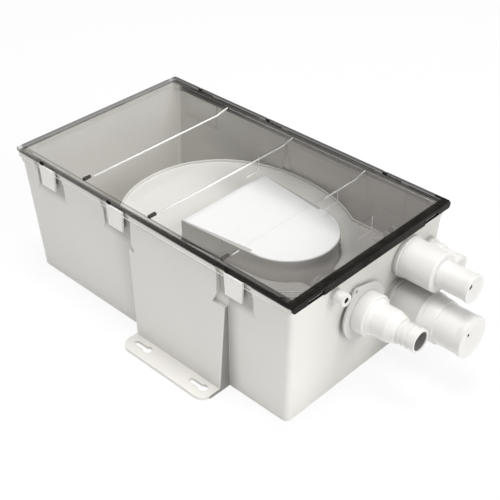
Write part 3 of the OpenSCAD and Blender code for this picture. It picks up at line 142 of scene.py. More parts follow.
class Tree:
    """Small helper that builds a material's nodes. Masks are 1 where they hold and 0 elsewhere."""

    def __init__(self, name):
        self.mat = bpy.data.materials.new(name)
        self.mat.use_nodes = True
        self.nt = self.mat.node_tree
        self.bsdf = self.nt.nodes["Principled BSDF"]
        self.out = self.nt.nodes["Material Output"]

    def node(self, kind):
        return self.nt.nodes.new(kind)

    def link(self, a, b):
        self.nt.links.new(a, b)

    def feed(self, value, socket):
        """Gives a socket another node's output or a plain value."""
        if isinstance(value, bpy.types.NodeSocket):
            self.link(value, socket)
        else:
            socket.default_value = value

    def coords(self):
        return self.node("ShaderNodeTexCoord").outputs["Object"]

    def xyz(self, co):
        """The three parts of a place, in millimetres."""
        grow = self.node("ShaderNodeVectorMath")
        grow.operation = "SCALE"
        grow.inputs["Scale"].default_value = 1 / MM
        self.link(co, grow.inputs[0])
        parts = self.node("ShaderNodeSeparateXYZ")
        self.link(grow.outputs[0], parts.inputs[0])
        return parts.outputs

    def noise(self, co, scale, detail, rough):
        n = self.node("ShaderNodeTexNoise")
        n.inputs["Scale"].default_value = scale
        n.inputs["Detail"].default_value = detail
        n.inputs["Roughness"].default_value = rough
        self.link(co, n.inputs["Vector"])
        return n.outputs["Fac"]

    def ramp(self, fac, band, low, high):
        """Turns from one colour to another while the factor crosses a band."""
        n = self.node("ShaderNodeValToRGB")
        for element, place, colour in zip(n.color_ramp.elements, band, (low, high)):
            element.position = place
            element.color = colour
        self.link(fac, n.inputs["Fac"])
        return n.outputs["Color"]

    def maths(self, op, a, b=0.0):
        n = self.node("ShaderNodeMath")
        n.operation = op
        self.feed(a, n.inputs[0])
        self.feed(b, n.inputs[1])
        return n.outputs[0]

    def add(self, a, b):
        return self.maths("ADD", a, b)

    def sub(self, a, b):
        return self.maths("SUBTRACT", a, b)

    def most(self, a, b):
        return self.maths("MAXIMUM", a, b)

    def size(self, a):
        return self.maths("ABSOLUTE", a)

    def above(self, a, b):
        return self.maths("GREATER_THAN", a, b)

    def below(self, a, b):
        return self.maths("LESS_THAN", a, b)

    def times(self, a, *others):
        for b in others:
            a = self.maths("MULTIPLY", a, b)
        return a

    def between(self, v, band):
        return self.times(self.above(v, band[0]), self.below(v, band[1]))

    def away(self, u, v, u0, v0):
        """Distance of a point from a centre, across two axes."""
        du = self.sub(u, u0)
        dv = self.sub(v, v0)
        return self.maths("SQRT", self.add(self.times(du, du), self.times(dv, dv)))

    def leaning(self, z, at_floor, lean):
        """Where a leaning face stands at a height, from its place at the floor and its lean up to the rim."""
        return self.add(self.times(z, lean / RIM_Z), at_floor)

    def ease(self, v, band):
        """Rises smoothly from 0 to 1 as v goes from the band's first value to its second."""
        n = self.node("ShaderNodeMapRange")
        n.interpolation_type = "SMOOTHSTEP"
        n.inputs["From Min"].default_value = band[0]
        n.inputs["From Max"].default_value = band[1]
        self.link(v, n.inputs["Value"])
        return n.outputs["Result"]

    def mix(self, fac, a, b, blend="MIX"):
        n = self.node("ShaderNodeMix")
        n.data_type = "RGBA"
        n.blend_type = blend
        for value, socket in ((fac, n.inputs[0]), (a, n.inputs[6]), (b, n.inputs[7])):
            self.feed(value, socket)
        return n.outputs[2]

    def darken(self, col, mask, tone, hue):
        """Leaves a share of the colour where the mask holds."""
        return self.mix(mask, col, self.mix(1.0, col, tinted(tone, hue), "MULTIPLY"))

    def bump(self, height, strength, depth):
        n = self.node("ShaderNodeBump")
        n.inputs["Strength"].default_value = strength
        n.inputs["Distance"].default_value = depth * MM
        self.link(height, n.inputs["Height"])
        self.link(n.outputs[0], self.bsdf.inputs["Normal"])

    def paint(self, col):
        self.link(col, self.bsdf.inputs["Base Color"])

    def gloss(self, fac, rough, reach):
        """Roughness that wanders below and above a value, by the two steps of its reach."""
        less, more = reach
        self.link(self.ramp(fac, NOISE_BAND, grey(rough - less), grey(rough + more)),
                  self.bsdf.inputs["Roughness"])


# Colour and skin of the plain materials
CLOUD_LIGHT_SHARE = 0.6
SPECK_COVER = 0.35
SPECK_TONE = 0.86
WAVE_SHARE = 4.0
RUBBER_DARK, RUBBER_LIGHT = 0.8, 1.35
METAL_DARK, METAL_LIGHT = 0.85, 1.1
MOULDED_GLOSS, RUBBER_GLOSS, METAL_GLOSS = (0.05, 0.08), (0.08, 0.1), (0.06, 0.1)


def moulded(name, base, rough=0.38, grain=900.0, grain_depth=0.04, spread=0.05, spec=0.4, tint=None):
    """Moulded plastic: slow colour clouds, specks, a fine skin, faint scuffs and uneven gloss."""
    t = Tree(name)
    co = t.coords()
    clouds = t.noise(co, scale=9.0, detail=3, rough=0.55)
    col = t.ramp(clouds, CLOUD_BAND, scaled(base, 1 - spread), scaled(base, 1 + spread * CLOUD_LIGHT_SHARE))
    specks = t.ramp(t.noise(co, scale=420.0, detail=2, rough=0.5), SPECK_BAND, grey(0.0), grey(SPECK_COVER))
    col = t.mix(specks, col, scaled(base, SPECK_TONE))
    # Painted shade, from the tint where one is given
    if tint:
        col = tint(t, co, col)
    t.paint(col)
    t.gloss(t.noise(co, scale=38.0, detail=6, rough=0.7), rough, MOULDED_GLOSS)
    skin = t.noise(co, scale=grain, detail=3, rough=0.6)
    wave = t.noise(co, scale=22.0, detail=2, rough=0.5)
    t.bump(t.add(skin, t.times(wave, WAVE_SHARE)), strength=0.35, depth=grain_depth)
    t.bsdf.inputs["Specular IOR Level"].default_value = spec
    return t.mat


def rubber(name, base, rough=0.6):
    """Rubber: mottled, matt and slightly rough."""
    t = Tree(name)
    co = t.coords()
    mottle = t.noise(co, scale=30.0, detail=5, rough=0.6)
    t.paint(t.ramp(mottle, NOISE_BAND, scaled(base, RUBBER_DARK), scaled(base, RUBBER_LIGHT)))
    t.gloss(t.noise(co, scale=60.0, detail=4, rough=0.6), rough, RUBBER_GLOSS)
    t.bump(t.noise(co, scale=700.0, detail=4, rough=0.6), strength=0.4, depth=0.06)
    return t.mat


def metal(name, base, rough=0.3, stretch=30):
    """Metal with fine streaks, packed closer along its height."""
    t = Tree(name)
    squeeze = t.node("ShaderNodeMapping")
    squeeze.inputs["Scale"].default_value = (1, 1, stretch)
    t.link(t.coords(), squeeze.inputs["Vector"])
    streak = t.noise(squeeze.outputs[0], scale=60.0, detail=4, rough=0.6)
    t.paint(t.ramp(streak, NOISE_BAND, scaled(base, METAL_DARK), scaled(base, METAL_LIGHT)))
    t.gloss(streak, rough, METAL_GLOSS)
    t.bsdf.inputs["Metallic"].default_value = 1.0
    t.bump(streak, strength=0.2, depth=0.04)
    return t.mat


# Painted shade on the tub. Each tone is the share of the colour that stays.
SHADE_HUE = (1.0, 1.0, 0.995)
WALL_SKIN = (-1.0, 1.0)
RETURN_SKIN, RETURN_OUT, RETURN_TONE = 0.6, 0.5, 0.36
RIGHT_FADE, RIGHT_TONE = (0.0, 14.0), 0.76
LEFT_FADE, LEFT_TONE = (0.0, 30.0), 0.8
INNER_SIDE_SKIN, INNER_SIDE_TONE = (-7.5, -2.1), 0.8
INNER_END_SKIN, INNER_END_TONE = (-3.4, -2.1), 0.84
INNER_FLOOR_Z = 3.5
INNER_SIDE_REACH = FLOOR_HALF_L - 4.0
INNER_END_REACH = FLOOR_HALF_W - 5.5
PORT_WALL_SKIN, PORT_WALL_FADE, PORT_WALL_TONE = -0.8, (-84.0, -30.0), 0.84
UNDER_RIM, UNDER_RIM_OUT, UNDER_RIM_TONE = (RIM_Z - 6.6, RIM_Z - 4.4), 0.3, 0.74
POCKET_SHIFT = -1.0
POCKET_SIDE_FADE = (25.5, 14.0)
POCKET_FOOT_FADE = (RIM_Z - 39.0, RIM_Z - 28.0)
POCKET_TOP = RIM_Z - 6.8
POCKET_DEPTH_FADE, POCKET_BACK = (-0.2, -1.6), -2.2
POCKET_TONE = 0.58


def tub_tint(t, co, col):
    """Painted shade by the bulges, on inner walls, on the port wall, under the rim and in the clip pockets.
    """
    x, y, z = t.xyz(co)
    out = t.sub(t.size(y), t.leaning(z, FLOOR_HALF_W, SIDE_LEAN))
    end = t.sub(x, t.leaning(z, FLOOR_HALF_L, END_LEAN))
    right = t.sub(x, t.leaning(z, BULGE_X1, BULGE_SPREAD_RIGHT))
    left = t.sub(t.leaning(z, BULGE_X0, -BULGE_SPREAD_LEFT), x)

    # Darkens the colour where the mask holds, as painted shade
    def painted_shade(mask, tone):
        return t.darken(col, mask, tone, SHADE_HUE)

    # Painted shade on the narrow port-side return of each bulge, and on the wall on both sides of the bulge
    col = painted_shade(t.times(t.below(t.size(right), RETURN_SKIN), t.above(out, RETURN_OUT)), RETURN_TONE)
    on_wall = t.between(out, WALL_SKIN)
    for beside, fade, tone in ((right, RIGHT_FADE, RIGHT_TONE), (left, LEFT_FADE, LEFT_TONE)):
        strength = t.times(t.sub(1.0, t.ease(beside, fade)), t.above(beside, 0.0))
        col = painted_shade(t.times(strength, on_wall), tone)

    # Painted shade on the inner far wall, the inner port wall and the port wall's outside
    inner_side = t.times(t.between(out, INNER_SIDE_SKIN), t.above(z, INNER_FLOOR_Z), t.above(y, 0.0),
                         t.below(t.size(x), INNER_SIDE_REACH))
    col = painted_shade(inner_side, INNER_SIDE_TONE)
    inner_end = t.times(t.between(end, INNER_END_SKIN), t.below(t.size(y), INNER_END_REACH))
    col = painted_shade(inner_end, INNER_END_TONE)
    col = painted_shade(t.times(t.above(end, PORT_WALL_SKIN), t.ease(y, PORT_WALL_FADE)), PORT_WALL_TONE)

    # Shade under the rim's lip and in the clip pockets
    col = painted_shade(t.times(t.between(z, UNDER_RIM), t.above(out, UNDER_RIM_OUT)), UNDER_RIM_TONE)
    in_width = 0.0
    for number in CLIP_NUMBERS:
        centre = node_box("clip_near_%d" % number).middle.x + POCKET_SHIFT
        in_width = t.most(in_width, t.ease(t.size(t.sub(x, centre)), POCKET_SIDE_FADE))
    in_height = t.times(t.ease(z, POCKET_FOOT_FADE), t.below(z, POCKET_TOP))
    in_depth = t.times(t.ease(out, POCKET_DEPTH_FADE), t.above(out, POCKET_BACK))
    return painted_shade(t.times(in_depth, in_width, in_height), POCKET_TONE)


# Painted shade in the holes at the fittings' tips: the node, the hole's radius, the pale lip in front of it
# and its tone.
# A closed tip has no lip.
HOLES = (
    ("discharge_fitting", 8.55, 0.9, 0.3),
    ("large_inlet", 1.5, None, 0.08),
    ("medium_inlet", 2.3, None, 0.06),
    ("small_inlet", 1.9, None, 0.1),
    ("cable_gland", 2.7, 0.4, 0.06),
)
HOLE_SHADE_HUE = (1.0, 0.97, 0.93)

# Shade on every flange, and on the large inlet's root under its neighbour
FLANGE_END, FLANGE_STRENGTH = 171.2, 0.7
ROOT_END, ROOT_SIDE, ROOT_TOP, ROOT_FADE = 200.0, 19.5, 79.5, (44.0, 70.0)
ROOT_HUE = (0.72, 0.715, 0.71)


def port_tint(t, co, col):
    """Painted shade: the bore and the small holes at the fittings' tips are dark inside, and shade sits on
    the flanges and at the roots.
    """
    x, y, z = t.xyz(co)
    for node, radius, lip, tone in HOLES:
        box = node_box(node)
        hole = t.below(t.away(y, z, box.middle.y, box.middle.z), radius)
        if lip is not None:
            hole = t.times(hole, t.below(x, box.high.x - lip))
        col = t.mix(hole, col, tinted(tone, HOLE_SHADE_HUE))
    root = t.times(t.below(x, ROOT_END), t.ease(z, ROOT_FADE), t.above(y, ROOT_SIDE), t.below(z, ROOT_TOP))
    shade = t.most(t.times(t.below(x, FLANGE_END), FLANGE_STRENGTH), root)
    return t.darken(col, shade, 1.0, ROOT_HUE)


# Haze of the lid. Each cover is the share of what lies behind that the haze hides. The far, port and corner
# covers and tones are painted reflection and painted shade.
CLEAR_COVER = (0.02, 0.035)
FAR_COVER, FAR_FADE_X, FAR_FADE_Y = 0.28, (-90.0, -10.0), (18.0, 50.0)
PORT_COVER, PORT_FADE_X = 0.36, (70.0, 120.0)
PORT_CENTRE, PORT_FADE_AWAY = (100.0, -26.0), (45.0, 62.0)
CORNER_COVER, CORNER_FADE_Y = 0.5, (-28.0, -55.0)
# Parts under the plate take a faint light tone, a painted highlight
INNER_COVER, INNER_DROP = 0.05, 1.8
CLEAR_SHADE, FAR_SHADE = srgb(96, 92, 88), srgb(124, 120, 116)
PORT_SHADE, CORNER_SHADE = srgb(138, 134, 130), srgb(134, 130, 126)
INNER_SHADE = srgb(226, 224, 220)
BAND_SHADES = (srgb(22, 20, 18), srgb(36, 33, 30))
LID_SPECULAR, LID_DULLING = 0.35, 0.27
LID_ROUGH, LID_GLOSS = 0.09, (0.03, 0.03)

# Borders of the lid, its smoked skirt, darker partly of its own and partly by painted shade: width in from
# the edge and cover. The near ones also gain cover towards the port, as painted shade.
LEFT_BORDERS = ((4.6, 0.34), (1.2, 0.58))
FAR_BORDERS = ((8.8, 0.3), (6.0, 0.42), (3.0, 0.66))
NEAR_BORDERS = ((7.4, 0.4, 0.4), (5.9, 0.15, 0.56), (2.2, 0.42, 0.42))
NEAR_GAIN_FADE = (-60.0, 120.0)
PORT_BORDER_W, PORT_BORDER_COVER = 6.3, 0.96


def lid_borders(t, x, y):
    """Mask and cover of each border. Where borders overlap, the later row is the one that shows."""
    rows = [(t.below(x, width - LID_HALF_L), grey(cover)) for width, cover in LEFT_BORDERS]
    rows += [(t.above(y, LID_HALF_W - width), grey(cover)) for width, cover in FAR_BORDERS]
    towards_port = t.ease(x, NEAR_GAIN_FADE)
    for width, cover, gain in NEAR_BORDERS:
        rows.append((t.below(y, width - LID_HALF_W), t.add(t.times(towards_port, gain), cover)))
    rows.append((t.above(x, LID_HALF_L - PORT_BORDER_W), grey(PORT_BORDER_COVER)))
    return rows


def smoked(name):
    """Clear smoked sheet: the plate is faint, greyer towards the far side and the port end by painted
    reflection and shade, and its borders are darker, each by its own width and depth, partly by painted
    shade.
    """
    t = Tree(name)
    co = t.coords()
    x, y, z = t.xyz(co)
    clouds = t.noise(co, scale=7.0, detail=3, rough=0.5)
    cover = t.ramp(clouds, NOISE_BAND, *map(grey, CLEAR_COVER))
    # Painted reflection and shade: the haze greys towards the far side, the port end and its near corner
    far = t.times(t.ease(x, FAR_FADE_X), t.ease(y, FAR_FADE_Y))
    port = t.times(t.ease(t.away(x, y, *PORT_CENTRE), PORT_FADE_AWAY), t.ease(x, PORT_FADE_X))
    corner = t.times(port, t.ease(y, CORNER_FADE_Y))
    shade = CLEAR_SHADE
    for mask, depth, tone in ((far, FAR_COVER, FAR_SHADE), (port, PORT_COVER, PORT_SHADE),
                              (corner, CORNER_COVER, CORNER_SHADE)):
        cover = t.mix(mask, cover, grey(depth))
        shade = t.mix(mask, shade, tone)
    edge = 0.0
    # Darker borders: the smoked skirt, partly painted shade
    for mask, depth in lid_borders(t, x, y):
        cover = t.mix(mask, cover, depth)
        edge = t.most(mask, edge)
    # Painted highlight: a faint light tone on the parts under the plate
    inner = t.times(t.below(z, PLATE_Z - INNER_DROP), t.sub(1.0, edge))
    cover = t.mix(inner, cover, grey(INNER_COVER))
    band = t.ramp(t.noise(co, scale=160.0, detail=3, rough=0.6), STREAK_BAND, *BAND_SHADES)
    t.paint(t.mix(inner, t.mix(edge, shade, band), INNER_SHADE))
    t.link(cover, t.bsdf.inputs["Alpha"])
    t.gloss(t.noise(co, scale=50.0, detail=5, rough=0.6), LID_ROUGH, LID_GLOSS)
    dull = t.times(t.most(edge, inner), LID_DULLING)
    t.link(t.sub(LID_SPECULAR, dull), t.bsdf.inputs["Specular IOR Level"])
    return t.mat


# Materials of the part
MATS = {
    "tub": moulded("tub_white", srgb(226, 224, 219), 0.36, spread=0.03, tint=tub_tint),
    "fit": moulded("fitting_white", srgb(232, 231, 228), 0.32, spread=0.02),
    "port": moulded("port_white", srgb(224, 223, 220), 0.32, spread=0.02, tint=port_tint),
    "clip": moulded("clip_white", srgb(244, 242, 238), 0.3, spread=0.02),
    "shroud": moulded("shroud_white", srgb(225, 224, 219), 0.4, spread=0.03),
    "pump": moulded("pump_grey", srgb(190, 188, 185), 0.42, spread=0.04),
    "label": moulded("label_film", srgb(238, 238, 237), 0.3, grain=300, grain_depth=0.01, spread=0.01),
    "black": moulded("black_plastic", srgb(34, 34, 35), 0.4, spread=0.15),
    "float": moulded("float_white", srgb(236, 235, 228), 0.35, spread=0.02),
    "rubber": rubber("black_rubber", srgb(30, 29, 28)),
    "seal": rubber("seal_rubber", srgb(176, 173, 168), 0.5),
    "steel": metal("steel", srgb(190, 191, 193), 0.28),
    "lam": metal("laminations", srgb(96, 95, 94), 0.45, stretch=400),
    "copper": metal("copper", srgb(196, 122, 74), 0.3),
    "ferrite": moulded("ferrite", srgb(58, 58, 60), 0.6, spread=0.12),
    "carbon": moulded("carbon", srgb(42, 42, 42), 0.7, spread=0.15),
    "lid": smoked("smoked_sheet"),
}
BY_SLOT = {
    "tub_plastic": "tub", "fitting_plastic": "fit", "smoked_clear": "lid", "black_rubber": "rubber",
    "steel": "steel", "laminated_steel": "lam", "copper": "copper", "ferrite": "ferrite", "carbon": "carbon",
    "pump_plastic": "pump", "black_plastic": "black", "float_plastic": "float", "label_film": "label",
}

# Nodes whose looks differ from those of their slot
NODE_MAT = {"lid_seal": "seal", "strainer_shroud": "shroud", "shroud_screws": "fit"}
NODE_MAT.update({n: "seal" for n in NODES if n.endswith("_gasket")})
NODE_MAT.update({n: "clip" for n in NODES if n.startswith("clip_")})
NODE_MAT.update({hole[0]: "port" for hole in HOLES})
slot_of = {s["node"]: s["material_slot"] for s in frame["record"]["subparts"]}
for name, ob in NODES.items():
    ob.data.materials.clear()
    ob.data.materials.append(MATS[NODE_MAT.get(name) or BY_SLOT[slot_of[name]]])

# Small pieces. A bead's ring starts across this direction, which no bead follows.
BEAD_SIDES = 8
BEAD_ACROSS = Vector((0.13, 0.21, 0.97))
MITRE_LIMIT = 0.5
BEVEL_SEGMENTS, BEVEL_PROFILE = 2, 0.5


def add_mesh(name, bm, mat):
    me = bpy.data.meshes.new(name)
    bm.to_mesh(me)
    bm.free()
    for p in me.polygons:
        p.use_smooth = True
    me.materials.append(mat)
    ob = bpy.data.objects.new(name, me)
    scene.collection.objects.link(ob)
    return ob


def sweep(bm, points, radius):
    """A thin round bead through points, mitred at its bends."""
    points = [Vector(p) * MM for p in points]
    steps = [(b - a).normalized() for a, b in zip(points, points[1:])]
    turns = [2 * math.pi * j / BEAD_SIDES for j in range(BEAD_SIDES)]
    rings = []
    for i, p in enumerate(points):
        before = steps[max(i - 1, 0)]
        after = steps[min(i, len(steps) - 1)]
        along = (before + after).normalized()
        side = along.cross(BEAD_ACROSS).normalized()
        up = along.cross(side)
        reach = radius * MM / max(MITRE_LIMIT, along.dot(before))
        rings.append([bm.verts.new(p + (side * math.cos(a) + up * math.sin(a)) * reach) for a in turns])
    for u, v in zip(rings, rings[1:]):
        for j in range(BEAD_SIDES):
            k = (j + 1) % BEAD_SIDES
            bm.faces.new((u[j], u[k], v[k], v[j]))
    bm.faces.new(rings[0][::-1])
    bm.faces.new(rings[-1])


def beads(name, lines, mat, body):
    """One piece made of beads, each given as its points and its radius."""
    bm = bmesh.new()
    for points, radius in lines:
        sweep(bm, points, radius)
    bmesh.ops.recalc_face_normals(bm, faces=bm.faces)
    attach(add_mesh(name, bm, mat), body)


def block(bm, low, high, bevel):
    """A box between two corners, with bevelled edges."""
    corners = bmesh.ops.create_cube(bm, size=1.0)["verts"]
    for v in corners:
        v.co = Vector([(a + b) / 2 + c * (b - a) for a, b, c in zip(low, high, v.co)]) * MM
    edges = list({e for v in corners for e in v.link_edges})
    bmesh.ops.bevel(bm, geom=edges, offset=bevel * MM, segments=BEVEL_SEGMENTS, profile=BEVEL_PROFILE,
                    affect="EDGES")


def blocks(name, boxes, mat, body, bevel):
    """One piece made of boxes, each given as its low and its high corner."""
    bm = bmesh.new()
    for low, high in boxes:
        block(bm, low, high, bevel)
    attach(add_mesh(name, bm, mat), body)


# Glowing white for beads of painted highlight
GLINT_GLOW = 0.12
GLINT = moulded("glint_edge", srgb(250, 249, 247), 0.18, spread=0.02)
glint_bsdf = GLINT.node_tree.nodes["Principled BSDF"]
glint_bsdf.inputs["Emission Color"].default_value = srgb(250, 248, 244)
glint_bsdf.inputs["Emission Strength"].default_value = GLINT_GLOW
# Dark, grey and deepest tones for blocks and beads of painted shade
DARK_SHADE = moulded("dark_painted_shade", srgb(62, 58, 54), 0.35, spread=0.1)
GREY_SHADE = moulded("grey_painted_shade", srgb(126, 122, 118), 0.35, spread=0.08)
PIT = moulded("deep_shade", srgb(24, 22, 20), 0.6, spread=0.1, spec=0.1)

# Ribs: a glowing bead of painted highlight along the lower edge that climbs at the far end, and a dark block
# of painted shade at the near end.
# The rib nearest the port shows only the two ends of its edge.
RIB_BEAD_Z, RIB_TOP_Z = PLATE_Z - 3.4, PLATE_Z - 0.4
RIB_NEAR_Y, RIB_BEND_Y, RIB_FAR_Y = -77.0, 77.0, 91.4
RIB_BEAD_STARTS = (RIB_NEAR_Y, RIB_NEAR_Y, 36.0)
RIB_NEAR_PIECE_Y = -69.0
RIB_BEAD_R, RIB_NEAR_PIECE_R = 0.8, 0.5
END_SHADE_HALF_W, END_SHADE_BEVEL = 1.3, 0.3
END_SHADE_YS, END_SHADE_ZS = (-88.5, -80.5), (PLATE_Z - 2.8, PLATE_Z - 0.1)


def rib_trim():
    lines, end_shades = [], []
    for x, start in zip(RIB_XS, RIB_BEAD_STARTS):
        points = [(x, start, RIB_BEAD_Z), (x, RIB_BEND_Y, RIB_BEAD_Z), (x, RIB_FAR_Y, RIB_TOP_Z)]
        lines.append((points, RIB_BEAD_R))
        end_shades.append(((x - END_SHADE_HALF_W, END_SHADE_YS[0], END_SHADE_ZS[0]), (x + END_SHADE_HALF_W, END_SHADE_YS[1], END_SHADE_ZS[1])))
    near_piece = [(RIB_XS[-1], y, RIB_BEAD_Z) for y in (RIB_NEAR_Y, RIB_NEAR_PIECE_Y)]
    lines.append((near_piece, RIB_NEAR_PIECE_R))
    # The beads are painted highlight; the blocks are painted shade.
    beads("rib_highlight_beads", lines, GLINT, "cover")
    blocks("rib_end_shades", end_shades, DARK_SHADE, "cover", END_SHADE_BEVEL)


# Fins: a glowing bead of painted highlight down the far edge and along the foot
FIN_PLACES = ((0.0, 45.0), (RIB_GAP, 54.0), (RIB_GAP + FIN_STEP, 40.0))
FIN_TOP_Z, FIN_FOOT_Z = PLATE_Z - 0.6, LID_BOX.low.z + 0.2
FIN_FOOT_L, FIN_BEAD_R = 17.6, 0.4


def fin_trim():
    lines = []
    for x, y in FIN_PLACES:
        points = [(x, y, FIN_TOP_Z), (x, y, FIN_FOOT_Z), (x, y - FIN_FOOT_L, FIN_FOOT_Z)]
        lines.append((points, FIN_BEAD_R))
    beads("fin_highlight_beads", lines, GLINT, "cover")


# Edges: how far in from the lid's end and side each point of a port corner lies, for a dark bead of painted
# shade, and the long lines, glowing beads of painted highlight
CORNER_INSETS = ((14.0, 0.6), (3.8, 0.7), (1.5, 2.0), (0.7, 4.6))
CORNER_Z, CORNER_R = TOP - 1.2, 0.95
RIM_LINE_XS, RIM_LINE_Y = (4.0 - LID_HALF_L, LID_HALF_L - 20.0), LID_HALF_W - 0.3
RIM_LINE_Z, RIM_LINE_R = RIM_Z - 4.2, 0.28
FAR_LINE_GAPS, FAR_LINE_END = (2.0, 3.0), LID_HALF_L - 7.0
FAR_LINE_Y, FAR_LINE_Z, FAR_LINE_R = LID_HALF_W - 8.0, PLATE_Z - 0.3, 0.26
LIP_Z = PLATE_Z - 0.4
LIP_LINE_X, LIP_LINE_YS, LIP_LINE_R = LID_HALF_L - 7.7, (78.0, -77.5), 0.45
LIP_CORNER, LIP_CORNER_R = ((LID_HALF_L - 22.6, 10.0 - LID_HALF_W), (LID_HALF_L - 9.4, -77.0)), 0.5


def edge_trim():
    near = [(LID_HALF_L - along, across - LID_HALF_W, CORNER_Z) for along, across in CORNER_INSETS]
    far = [(x, -y, z) for x, y, z in near[::-1]]
    # A dark bead of painted shade round the lid's port corners
    beads("port_edge_shade_bead", [(near + far, CORNER_R)], PIT, "cover")
    # Glowing beads of painted highlight under the rim's lip, on the far side and on the lip
    rims = [([(x, side * RIM_LINE_Y, RIM_LINE_Z) for x in RIM_LINE_XS], RIM_LINE_R) for side in (-1, 1)]
    beads("rim_highlight_beads", rims, GLINT, "tub")
    lines = []
    for a, b in zip(RIB_XS, RIB_XS[1:] + (FAR_LINE_END,)):
        ends = (a + FAR_LINE_GAPS[0], b - FAR_LINE_GAPS[1])
        lines.append(([(x, FAR_LINE_Y, FAR_LINE_Z) for x in ends], FAR_LINE_R))
    beads("far_highlight_beads", lines, GLINT, "cover")
    beads("lip_highlight_beads", [([(LIP_LINE_X, y, LIP_Z) for y in LIP_LINE_YS], LIP_LINE_R),
                        ([(x, y, LIP_Z) for x, y in LIP_CORNER], LIP_CORNER_R)], GLINT, "cover")


# Painted shade in the notches of the lid's edge, and glowing beads of painted highlight on the edges of the
# clips
NEAR_NOTCH_HALF_W, FAR_NOTCH_HALF_W = 2.2, 2.0
NEAR_NOTCH_YS, NEAR_NOTCH_ZS = (-LID_HALF_W - 0.15, 1.5 - LID_HALF_W), (PLATE_Z - 1.4, TOP - 0.5)
FAR_NOTCH_YS, FAR_NOTCH_ZS = (LID_HALF_W - 1.6, LID_HALF_W - 0.05), (PLATE_Z - 0.1, TOP - 0.05)
NEAR_NOTCH_BEVEL, FAR_NOTCH_BEVEL = 0.3, 0.1
CLIP_FOOT_HALF_W, CLIP_TOP_HALF_W = 8.6, 9.7
CLIP_FOOT_RISE, CLIP_TOP_Z, CLIP_BEAD_R = 0.9, TOP - 3.2, 0.42


# A block of painted shade filling a notch of the lid's edge
def notch_shade(name, x, half_w, ys, zs, mat, bevel):
    blocks(name, [((x - half_w, ys[0], zs[0]), (x + half_w, ys[1], zs[1]))], mat, "cover", bevel)


def clip_highlight(clip, name):
    """A glowing bead of painted highlight up the left edge of a clip's outer face and along its top."""
    box = node_box(clip)
    x = box.middle.x
    y = box.low.y if box.middle.y < 0 else box.high.y
    points = [(x - CLIP_FOOT_HALF_W, y, box.low.z + CLIP_FOOT_RISE), (x - CLIP_TOP_HALF_W, y, CLIP_TOP_Z),
              (x + CLIP_TOP_HALF_W, y, CLIP_TOP_Z)]
    beads(name, [(points, CLIP_BEAD_R)], GLINT, clip + "_lever")


def clip_trim():
    for number in CLIP_NUMBERS:
        x = node_box("clip_near_%d" % number).middle.x + NOTCH_SHIFT
        notch_shade("notch_near_%d" % number, x, NEAR_NOTCH_HALF_W, NEAR_NOTCH_YS, NEAR_NOTCH_ZS, PIT,
              NEAR_NOTCH_BEVEL)
        clip_highlight("clip_near_%d" % number, "clip_edge_near_%d" % number)
        notch_shade("notch_far_%d" % number, x, FAR_NOTCH_HALF_W, FAR_NOTCH_YS, FAR_NOTCH_ZS, GREY_SHADE, FAR_NOTCH_BEVEL)
        clip_highlight("clip_far_%d" % number, "clip_edge_far_%d" % number)


rib_trim()
fin_trim()
edge_trim()
clip_trim()

# Floor: its bounce is grey, and it shows nearly white to the camera, in gloss and through the lid
FLOOR_GREY, FLOOR_ROUGH = 0.9, 0.9
FLOOR_GLOW_SHARE = 0.86
FLOOR_HALF_SIZE, FLOOR_DROP = 6, 0.0002


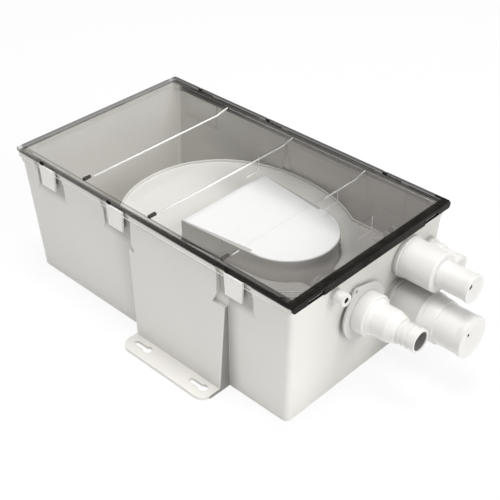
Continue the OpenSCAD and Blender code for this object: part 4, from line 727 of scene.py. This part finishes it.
def backdrop_material():
    t = Tree("backdrop")
    t.bsdf.inputs["Base Color"].default_value = grey(FLOOR_GREY)
    t.bsdf.inputs["Roughness"].default_value = FLOOR_ROUGH
    t.bsdf.inputs["Specular IOR Level"].default_value = 0.0
    glow = t.node("ShaderNodeEmission")
    glow.inputs["Color"].default_value = grey(1.0)
    path = t.node("ShaderNodeLightPath")
    seen = t.most(path.outputs["Is Glossy Ray"], path.outputs["Is Transmission Ray"])
    seen = t.most(path.outputs["Is Camera Ray"], seen)
    both = t.node("ShaderNodeMixShader")
    t.link(t.times(seen, FLOOR_GLOW_SHARE), both.inputs[0])
    t.link(t.bsdf.outputs[0], both.inputs[1])
    t.link(glow.outputs[0], both.inputs[2])
    t.link(both.outputs[0], t.out.inputs["Surface"])
    return t.mat


def make_stage():
    bm = bmesh.new()
    bmesh.ops.create_grid(bm, x_segments=1, y_segments=1, size=FLOOR_HALF_SIZE)
    me = bpy.data.meshes.new("floor")
    bm.to_mesh(me)
    bm.free()
    floor = bpy.data.objects.new("floor", me)
    floor.location.z = -FLOOR_DROP
    scene.collection.objects.link(floor)
    me.materials.append(backdrop_material())


make_stage()


# Lights: a key from the port side, a weak fill from the near side and a strong one from above

def area(name, place, aim, size, power):
    data = bpy.data.lights.new(name, "AREA")
    data.shape = "SQUARE"
    data.size = size
    data.energy = power
    ob = bpy.data.objects.new(name, data)
    scene.collection.objects.link(ob)
    ob.location = place
    ob.rotation_euler = (Vector(aim) - Vector(place)).to_track_quat("-Z", "Y").to_euler()


area("key", place=(1.65, 0.1, 1.1), aim=(0, 0, 0.04), size=1.0, power=19)
area("fill", place=(0.1, -2.0, 0.75), aim=(0, 0, 0.05), size=1.2, power=4.2)
area("top", place=(0.0, -0.1, 2.2), aim=(0, 0, 0.05), size=0.9, power=33)

# World: white where it is seen, straight or through the lid, and a weaker light elsewhere
WORLD_SEEN, WORLD_LIGHT = 1.0, 0.29


def make_world():
    world = bpy.data.worlds.new("world")
    scene.world = world
    world.use_nodes = True
    nodes, links = world.node_tree.nodes, world.node_tree.links
    background = nodes["Background"]
    background.inputs["Color"].default_value = grey(1.0)
    path = nodes.new("ShaderNodeLightPath")
    seen = nodes.new("ShaderNodeMath")
    seen.operation = "MAXIMUM"
    links.new(path.outputs["Is Camera Ray"], seen.inputs[0])
    links.new(path.outputs["Is Transmission Ray"], seen.inputs[1])
    strength = nodes.new("ShaderNodeMapRange")
    strength.inputs["To Min"].default_value = WORLD_LIGHT
    strength.inputs["To Max"].default_value = WORLD_SEEN
    links.new(seen.outputs[0], strength.inputs["Value"])
    links.new(strength.outputs["Result"], background.inputs["Strength"])


make_world()
